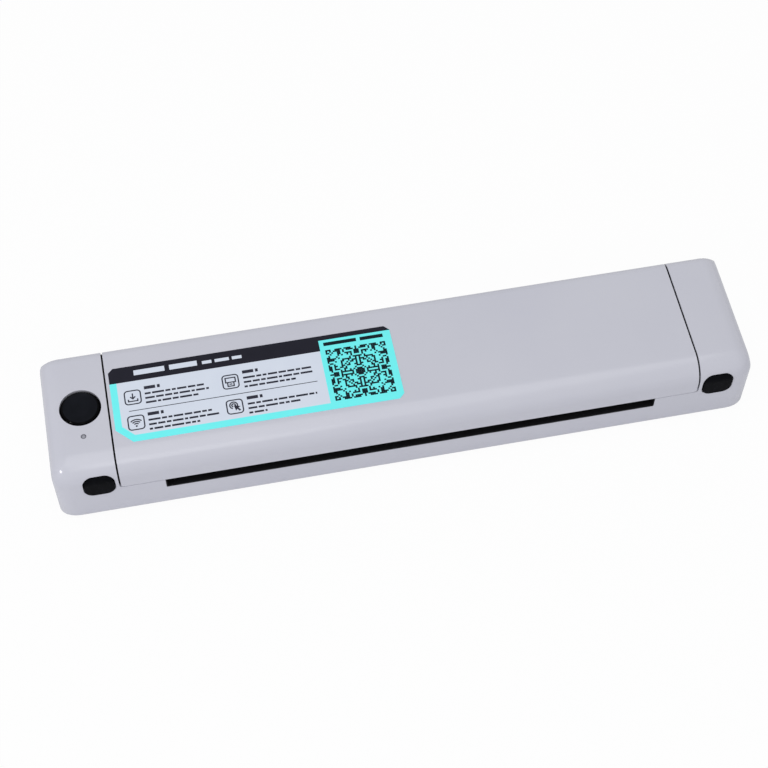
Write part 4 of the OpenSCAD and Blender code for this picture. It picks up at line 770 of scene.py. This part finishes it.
text_bars = []
for u, v, ends in ((LEFT, UPPER, (41.0, 42.2, 37.4)), (RIGHT, UPPER, (87.5, 87.9, 80.0)),
                   (LEFT, LOWER, (41.9, 45.2, 36.2)), (RIGHT, LOWER, (87.9, 81.0, 65.4))):
    text_bars += bars(((u, u + 4.9), (u + 5.7, u + 6.9)), v - HEADING_HALF, v + HEADING_HALF)
    for k, end in enumerate(ends):
        text_bars += words(u, v - FIRST_DROP - LINE_DROP * k, end, k * 4 + int(v + u) % 7)
inked("label_text_bars", text_bars, TEXT_INK)
inked("label_divider", [bar(6.8, 15.36, 89.0, 15.7)], TEXT_INK)


# The four steps' signs: a tray with an arrow, waves, a sheet in a feeder, and a tap

FRAME = 6.9
FRAME_LEFT, FRAME_RIGHT = 5.75, 48.4
FRAME_UPPER, FRAME_LOWER = 18.9, 5.9
tray = (FRAME_LEFT + FRAME / 2, FRAME_UPPER)
waves = (FRAME_LEFT + FRAME / 2, FRAME_LOWER + 1.7)
sheet = (FRAME_RIGHT + 1.3, FRAME_UPPER)
tap = (FRAME_RIGHT + 3.0, FRAME_LOWER + 4.2)
signs = [rounded_frame(u, v, FRAME) for u in (FRAME_LEFT, FRAME_RIGHT) for v in (FRAME_UPPER, FRAME_LOWER)]
signs += [
    drawn(tray, [(0, 5.5), (0, 2.9)]),
    drawn(tray, [(-1.1, 3.8), (0, 2.7), (1.1, 3.8)]),
    drawn(tray, [(-2.0, 2.6), (-2.0, 1.5), (2.0, 1.5), (2.0, 2.6)]),
    drawn(sheet, [(0, 3.2), (4.3, 3.2), (4.3, 5.5), (0, 5.5)], closed=True),
    drawn(sheet, [(0.8, 3.2), (0.8, 1.2), (3.5, 1.2), (3.5, 3.2)]),
    drawn(sheet, [(1.5, 2.2), (2.8, 2.2)]),
]
signs += [line(arc(*waves, radius, 45, 135)) for radius in (1.3, 2.3, 3.3)]
signs += [line(arc(*tap, radius, -20, 250)) for radius in (0.8, 1.7)]
source = arc(*waves, 0.45, 0, 330, 11)
pointer = [(tap[0] + u, tap[1] + v) for u, v in ((0, 0), (2.9, -0.9), (1.9, -1.5), (2.9, -2.7), (2.2, -3.2),
                                                 (1.3, -2.0), (0.7, -2.9))]
inked("label_signs", [source, pointer], TEXT_INK, lines=signs)

MOSAIC_MIDDLE = Vector((108.4, 17.35, 0)) + Vector((LABEL_LOW.x / MM, LABEL_LOW.y / MM, FILM_TOP + INK))
grown("label_mosaic", mosaic_tiles(), [MOSAIC_MIDDLE], "cover", "label_film",
      Tiles_Across=33, Tile_Size=0.812 * MM, Thickness=0.03 * MM, Finish=MOSAIC_INK)


# Power button and light

CREASE = 35             # degrees; edges that turn by more stay sharp


def turned(name, axis, bands, body, steps=96):
    """A closed form turned round an upright axis. Each band is a finish and its places, as radius and height,
    from the lower pole to the upper one."""
    form = bmesh.new()
    rings = []
    for number, (_, places) in enumerate(bands):
        for radius, height in places:
            ring = []
            for angle in (2 * math.pi * k / steps for k in range(steps if radius else 1)):
                x, y = axis[0] + radius * math.cos(angle), axis[1] + radius * math.sin(angle)
                ring.append(form.verts.new((x * MM, y * MM, height * MM)))
            rings.append((ring if radius else ring * steps, number))
    for (lower, number), (upper, _) in zip(rings, rings[1:]):
        for k in range(steps):
            face = form.faces.new(list(dict.fromkeys((lower[k - 1], lower[k], upper[k], upper[k - 1]))))
            face.material_index = number
            face.smooth = True
    piece = keep_form(name, form, [material for material, _ in bands], body)
    piece.data.set_sharp_from_angle(angle=math.radians(CREASE))
    return piece


# The cap's rim band is painted near black as painted shade for the bevel's dark ring; its face band is the
# button's own black
button = turned("power_button_cap", (-138.8, 1.8), [
    (RIM_SHADE, [(0, 32.2), (1.6, 32.2), (1.8, 32.4), (1.8, 34.55), (9.75, 34.55), (9.9, 34.7), (9.9, 35.4),
                (9.75, 35.55), (8.65, 35.55), (8.65, 36.6), (8.62, 36.76), (8.53, 36.9), (7.78, 37.58),
                (7.68, 37.66), (7.58, 37.71)]),
    (SILK, [(7.48, 37.73), (7.36, 37.71), (7.2, 37.67), (6.2, 37.58), (4.6, 37.51), (2.4, 37.47),
            (0, 37.45)]),
], "power_button")
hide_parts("power_button")
lens = turned("light_lens", (-138.8, -12.8), [
    (LIGHT, [(0, 29.4), (1.15, 29.4), (1.15, 34.6), (2.15, 34.6), (2.15, 35.6), (1.15, 35.6), (1.15, 37.3),
             (1.05, 37.38), (0.8, 37.4)]),
    (LIGHT_CORE, [(0.72, 37.36), (0.66, 37.42), (0.5, 37.47), (0.25, 37.495), (0, 37.5)]),
], "base", 48)
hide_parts("light_pipe")


# Springs

SPRINGS = coil_springs()
SEAT_Z = 3.8            # the head springs stand on this
springs = grown("head_spring_coils", SPRINGS, [(x, -14, SEAT_Z) for x in (-70.514, 1.525, 73.564)], "base",
                "spring_steel", Mean_Radius=2.6 * MM, Wire_Radius=0.4 * MM, Length=9.1 * MM, Turns=7.0,
                Closed_Pitch=0.82 * MM, Open_Pitch=1.332 * MM, Aim=(0, 0, 0), Finish=WIRE)
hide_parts("head_springs")
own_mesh(springs)

SEAT_Y, STEM_Z = -6.2, 23.4     # the release springs' rear ends, and the height of their middles
for side, x in (("left", -135.65), ("right", 138.7)):
    spring = grown(f"release_coil_{side}", SPRINGS, [(x, SEAT_Y, STEM_Z)], "base", "spring_steel",
                   Mean_Radius=2.2 * MM, Wire_Radius=0.35 * MM, Length=7.5 * MM, Turns=6.0,
                   Closed_Pitch=0.72 * MM, Open_Pitch=1.34 * MM, Aim=(math.pi / 2, 0, 0), Finish=WIRE)
    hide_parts(f"release_spring_{side}")
    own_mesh(spring)


# Screws

SCREWS = pan_screws()
CASE_Z, LINER_Z, BOARD_Z, MOTOR_X = 1.6, 22.1, 8.5, 133.85     # where the heads' tops are
LONG_PLACES = [(x, y, CASE_Z) for x, y in (
    (-145.5, -22), (-145.5, 22), (145.5, -22), (145.5, 22), (-60.472, -24.8), (63.522, -24.8), (-4.475, 6.2),
    (-4.475, 24.2), (107.025, 15.2))]
SHORT_PLACES = [(x, y, CASE_Z) for x in (-113.025, 116.075) for y in (-21.5, -4)]
LINER_PLACES = [(x, y, LINER_Z) for x in (-82.52, 1.525, 85.57) for y in (-24.6, 13)]
BOARD_PLACES = [(x, y, BOARD_Z) for x, y in ((-141, 3.9), (-141, 15), (-13.875, 23.8))]
MOTOR_PLACES = [(MOTOR_X, 8.137 + side * 12.2, 15.887) for side in (-1, 1)]
UP, DOWN, LEFTWARDS = (0, 0, 0), (math.pi, 0, 0), (0, -math.pi / 2, 0)


def screws(name, node, places, body, aim, head, head_h, root, length):
    """Screws that stand for a node's plain ones: the head's width and height, the core's radius and the whole
    length, in millimetres."""
    made = grown(name, SCREWS, places, body, "steel", Head_Radius=head / 2 * MM, Head_Height=head_h * MM,
                 Root_Radius=root * MM, Thread_Height=0.2 * MM, Pitch=0.8 * MM, Length=length * MM,
                 Recess_Width=head * 0.13 * MM, Aim=aim, Finish=STEEL)
    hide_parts(node)


screws("case_screws_long", "case_screws", LONG_PLACES, "base", UP, 4.6, 1.1, 0.8, 7.0)
screws("case_screws_short", "case_screws", SHORT_PLACES, "base", UP, 4.6, 1.1, 0.8, 4.1)
screws("liner_screws_cross", "liner_screws", LINER_PLACES, "cover", UP, 4.0, 1.0, 0.63, 6.4)
screws("board_screws_cross", "board_screws", BOARD_PLACES, "base", DOWN, 3.6, 1.2, 0.48, 4.4)
screws("motor_screws_cross", "motor_screws", MOTOR_PLACES, "base", LEFTWARDS, 3.8, 1.15, 0.62, 3.3)


# Flat cable of the head

def swept(name, path, section, body, material):
    """A closed form: the same section, given as places across and along the normal, at each point of a path
    in the plane of Y and Z. All in millimetres."""
    form = bmesh.new()
    rings = []
    for i, point in enumerate(path):
        before, after = Vector(path[max(i - 1, 0)]), Vector(path[min(i + 1, len(path) - 1)])
        way = (after - before).normalized()
        normal = Vector((-way.y, way.x))
        rings.append([form.verts.new((x * MM, (point[0] + normal.x * n) * MM, (point[1] + normal.y * n) * MM))
                      for x, n in section])
    for a, b in zip(rings, rings[1:]):
        for k in range(len(section)):
            form.faces.new((a[k - 1], a[k], b[k], b[k - 1]))
    form.faces.new(rings[0])
    form.faces.new(rings[-1])
    bmesh.ops.recalc_face_normals(form, faces=form.faces)
    return keep_form(name, form, [material], body)


FLEX_RIGHT, FLEX_W, FLEX_HALF = -16.475, 30.0, 0.13     # its right edge, width and half thickness
UPRIGHT_Y = -0.35       # the cable goes up here, from the board's plug to the head
PLUG_Z, HEAD_Z = 9.05, 12.45
BEND = 0.7              # radius of its two bends
QUARTER = [math.radians(15 * i) for i in range(7)]
flex_path = [(3.1, PLUG_Z), (1.6, PLUG_Z)]
flex_path += [(UPRIGHT_Y + BEND * (1 - math.sin(t)), PLUG_Z + BEND * (1 - math.cos(t))) for t in QUARTER]
flex_path += [(UPRIGHT_Y - BEND * (1 - math.cos(t)), HEAD_Z - BEND * (1 - math.sin(t))) for t in QUARTER]
flex_path += [(-3.0, 12.42), (-5.0, 12.5), (-7.0, 12.46), (-9.0, HEAD_Z)]
flex_section = bar(FLEX_RIGHT - FLEX_W, -FLEX_HALF, FLEX_RIGHT, FLEX_HALF)
flex = swept("head_flex_film", flex_path, flex_section, "base", FLEX)
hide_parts("head_flex")


# Battery leads, and plugs

def wire(name, points, slot, material):
    """A round lead 1.4 mm thick along a smooth path, in millimetres."""
    curve = bpy.data.curves.new(name, "CURVE")
    curve.dimensions = "3D"
    curve.bevel_depth = 0.7 * MM
    curve.bevel_resolution = 4
    curve.use_fill_caps = True
    curve.resolution_u = 10
    spline = curve.splines.new("NURBS")
    spline.points.add(len(points) - 1)
    for knot, point in zip(spline.points, points):
        knot.co = (*[c * MM for c in point], 1)
    spline.use_endpoint_u = True
    spline.order_u = 4
    shape = bpy.data.objects.new(name + "_curve", curve)
    bpy.context.scene.collection.objects.link(shape)
    mesh = bpy.data.meshes.new_from_object(shape.evaluated_get(bpy.context.evaluated_depsgraph_get()))
    bpy.data.objects.remove(shape)
    mesh.materials.clear()
    mesh.materials.append(material)
    for face in mesh.polygons:
        face.use_smooth = True
    return keep(name, mesh, "base")


red = wire("battery_lead_red", [(6.2, 14.2, 7.7), (3.5, 14.2, 7.7), (0, 14.0, 7.7), (-4, 13.6, 8.1),
                                (-8, 14.1, 9.1), (-11.2, 14.2, 9.2)], "wire_red", RED_WIRE)
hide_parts("battery_lead")
wire("battery_lead_black", [(6.2, 16.4, 7.7), (3.5, 16.4, 7.7), (0, 16.6, 7.7), (-4, 17.0, 8.1),
                            (-8, 16.5, 9.1), (-11.2, 16.4, 9.2)], "black_plastic", BLACK_WIRE)


def bevelled_block(name, low, high, radius, body, material):
    """A block with rounded edges, between two corners in millimetres."""
    form = bmesh.new()
    bmesh.ops.create_cube(form, size=1.0)
    for corner in form.verts:
        corner.co = [(a + (b - a) * (c + 0.5)) * MM for a, b, c in zip(low, high, corner.co)]
    bmesh.ops.bevel(form, geom=form.edges[:], offset=radius * MM, segments=2, affect="EDGES", profile=0.5)
    return keep_form(name, form, [material], body)


bevelled_block("battery_plug", (-15.6, 12.4, 7.3), (-11.0, 18.2, 10.6), 0.25, "base", NYLON)
motor_end, _, motor_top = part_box("stepper_motor")[1] / MM
bevelled_block("motor_plug", (motor_end - 12.12, 4.02, motor_top - 3.0),
               (motor_end - 5.88, 12.26, motor_top + 0.12), 0.3, "base", NYLON)


# Small parts on the control board: leads of the processor and the memory, and rows of chip resistors

BLOCKS = small_blocks()
BOARD_TOP = 7.3
LEAD_OUT = 0.45         # from a chip's side to its leads' middles
# Each group's first resistor, how many are across and how many along, and their steps
RESISTOR_ROWS = ((-58, 6.5, 5, 4), (-83, 6.5, 3, 4), (-112, 6.5, 5, 3), (-42, 8.5, 4, 3), (-92, 20.5, 6, 2))
STEP_X, STEP_Y = 3.1, 3.0
END_OUT = 0.95          # from a resistor's middle to its metal ends' middles


def chip_leads(x, y, width, step):
    """Places of the leads along two sides of a square chip, and along the other two."""
    rows = [-width / 2 + step * (k + 0.5) for k in range(int(width / step))]
    out = width / 2 + LEAD_OUT
    return ([(x + side * out, y + row, BOARD_TOP) for side in (-1, 1) for row in rows],
            [(x + row, y + side * out, BOARD_TOP) for side in (-1, 1) for row in rows])


def blocks(name, places, slot, size, material):
    grown(name, BLOCKS, places, "base", slot, Size=[side * MM for side in size], Finish=material)


processor_sides, processor_ends = chip_leads(-68.89, 12.5, 10, 0.8)
memory_sides, _ = chip_leads(-26.975, 12, 7, 1.0)
blocks("chip_leads_sides", processor_sides + memory_sides, "steel", (0.95, 0.35, 0.3), STEEL)
blocks("chip_leads_ends", processor_ends, "steel", (0.35, 0.95, 0.3), STEEL)
resistors = [(x0 + STEP_X * i, y0 + STEP_Y * j, BOARD_TOP)
             for x0, y0, across, along in RESISTOR_ROWS for i in range(across) for j in range(along)]
blocks("chip_resistors", resistors, "chip_black", (1.5, 1.0, 0.5), EPOXY)
resistor_ends = [(x + side * END_OUT, y, z) for x, y, z in resistors for side in (-1, 1)]
blocks("chip_resistor_ends", resistor_ends, "steel", (0.4, 1.04, 0.54), STEEL)
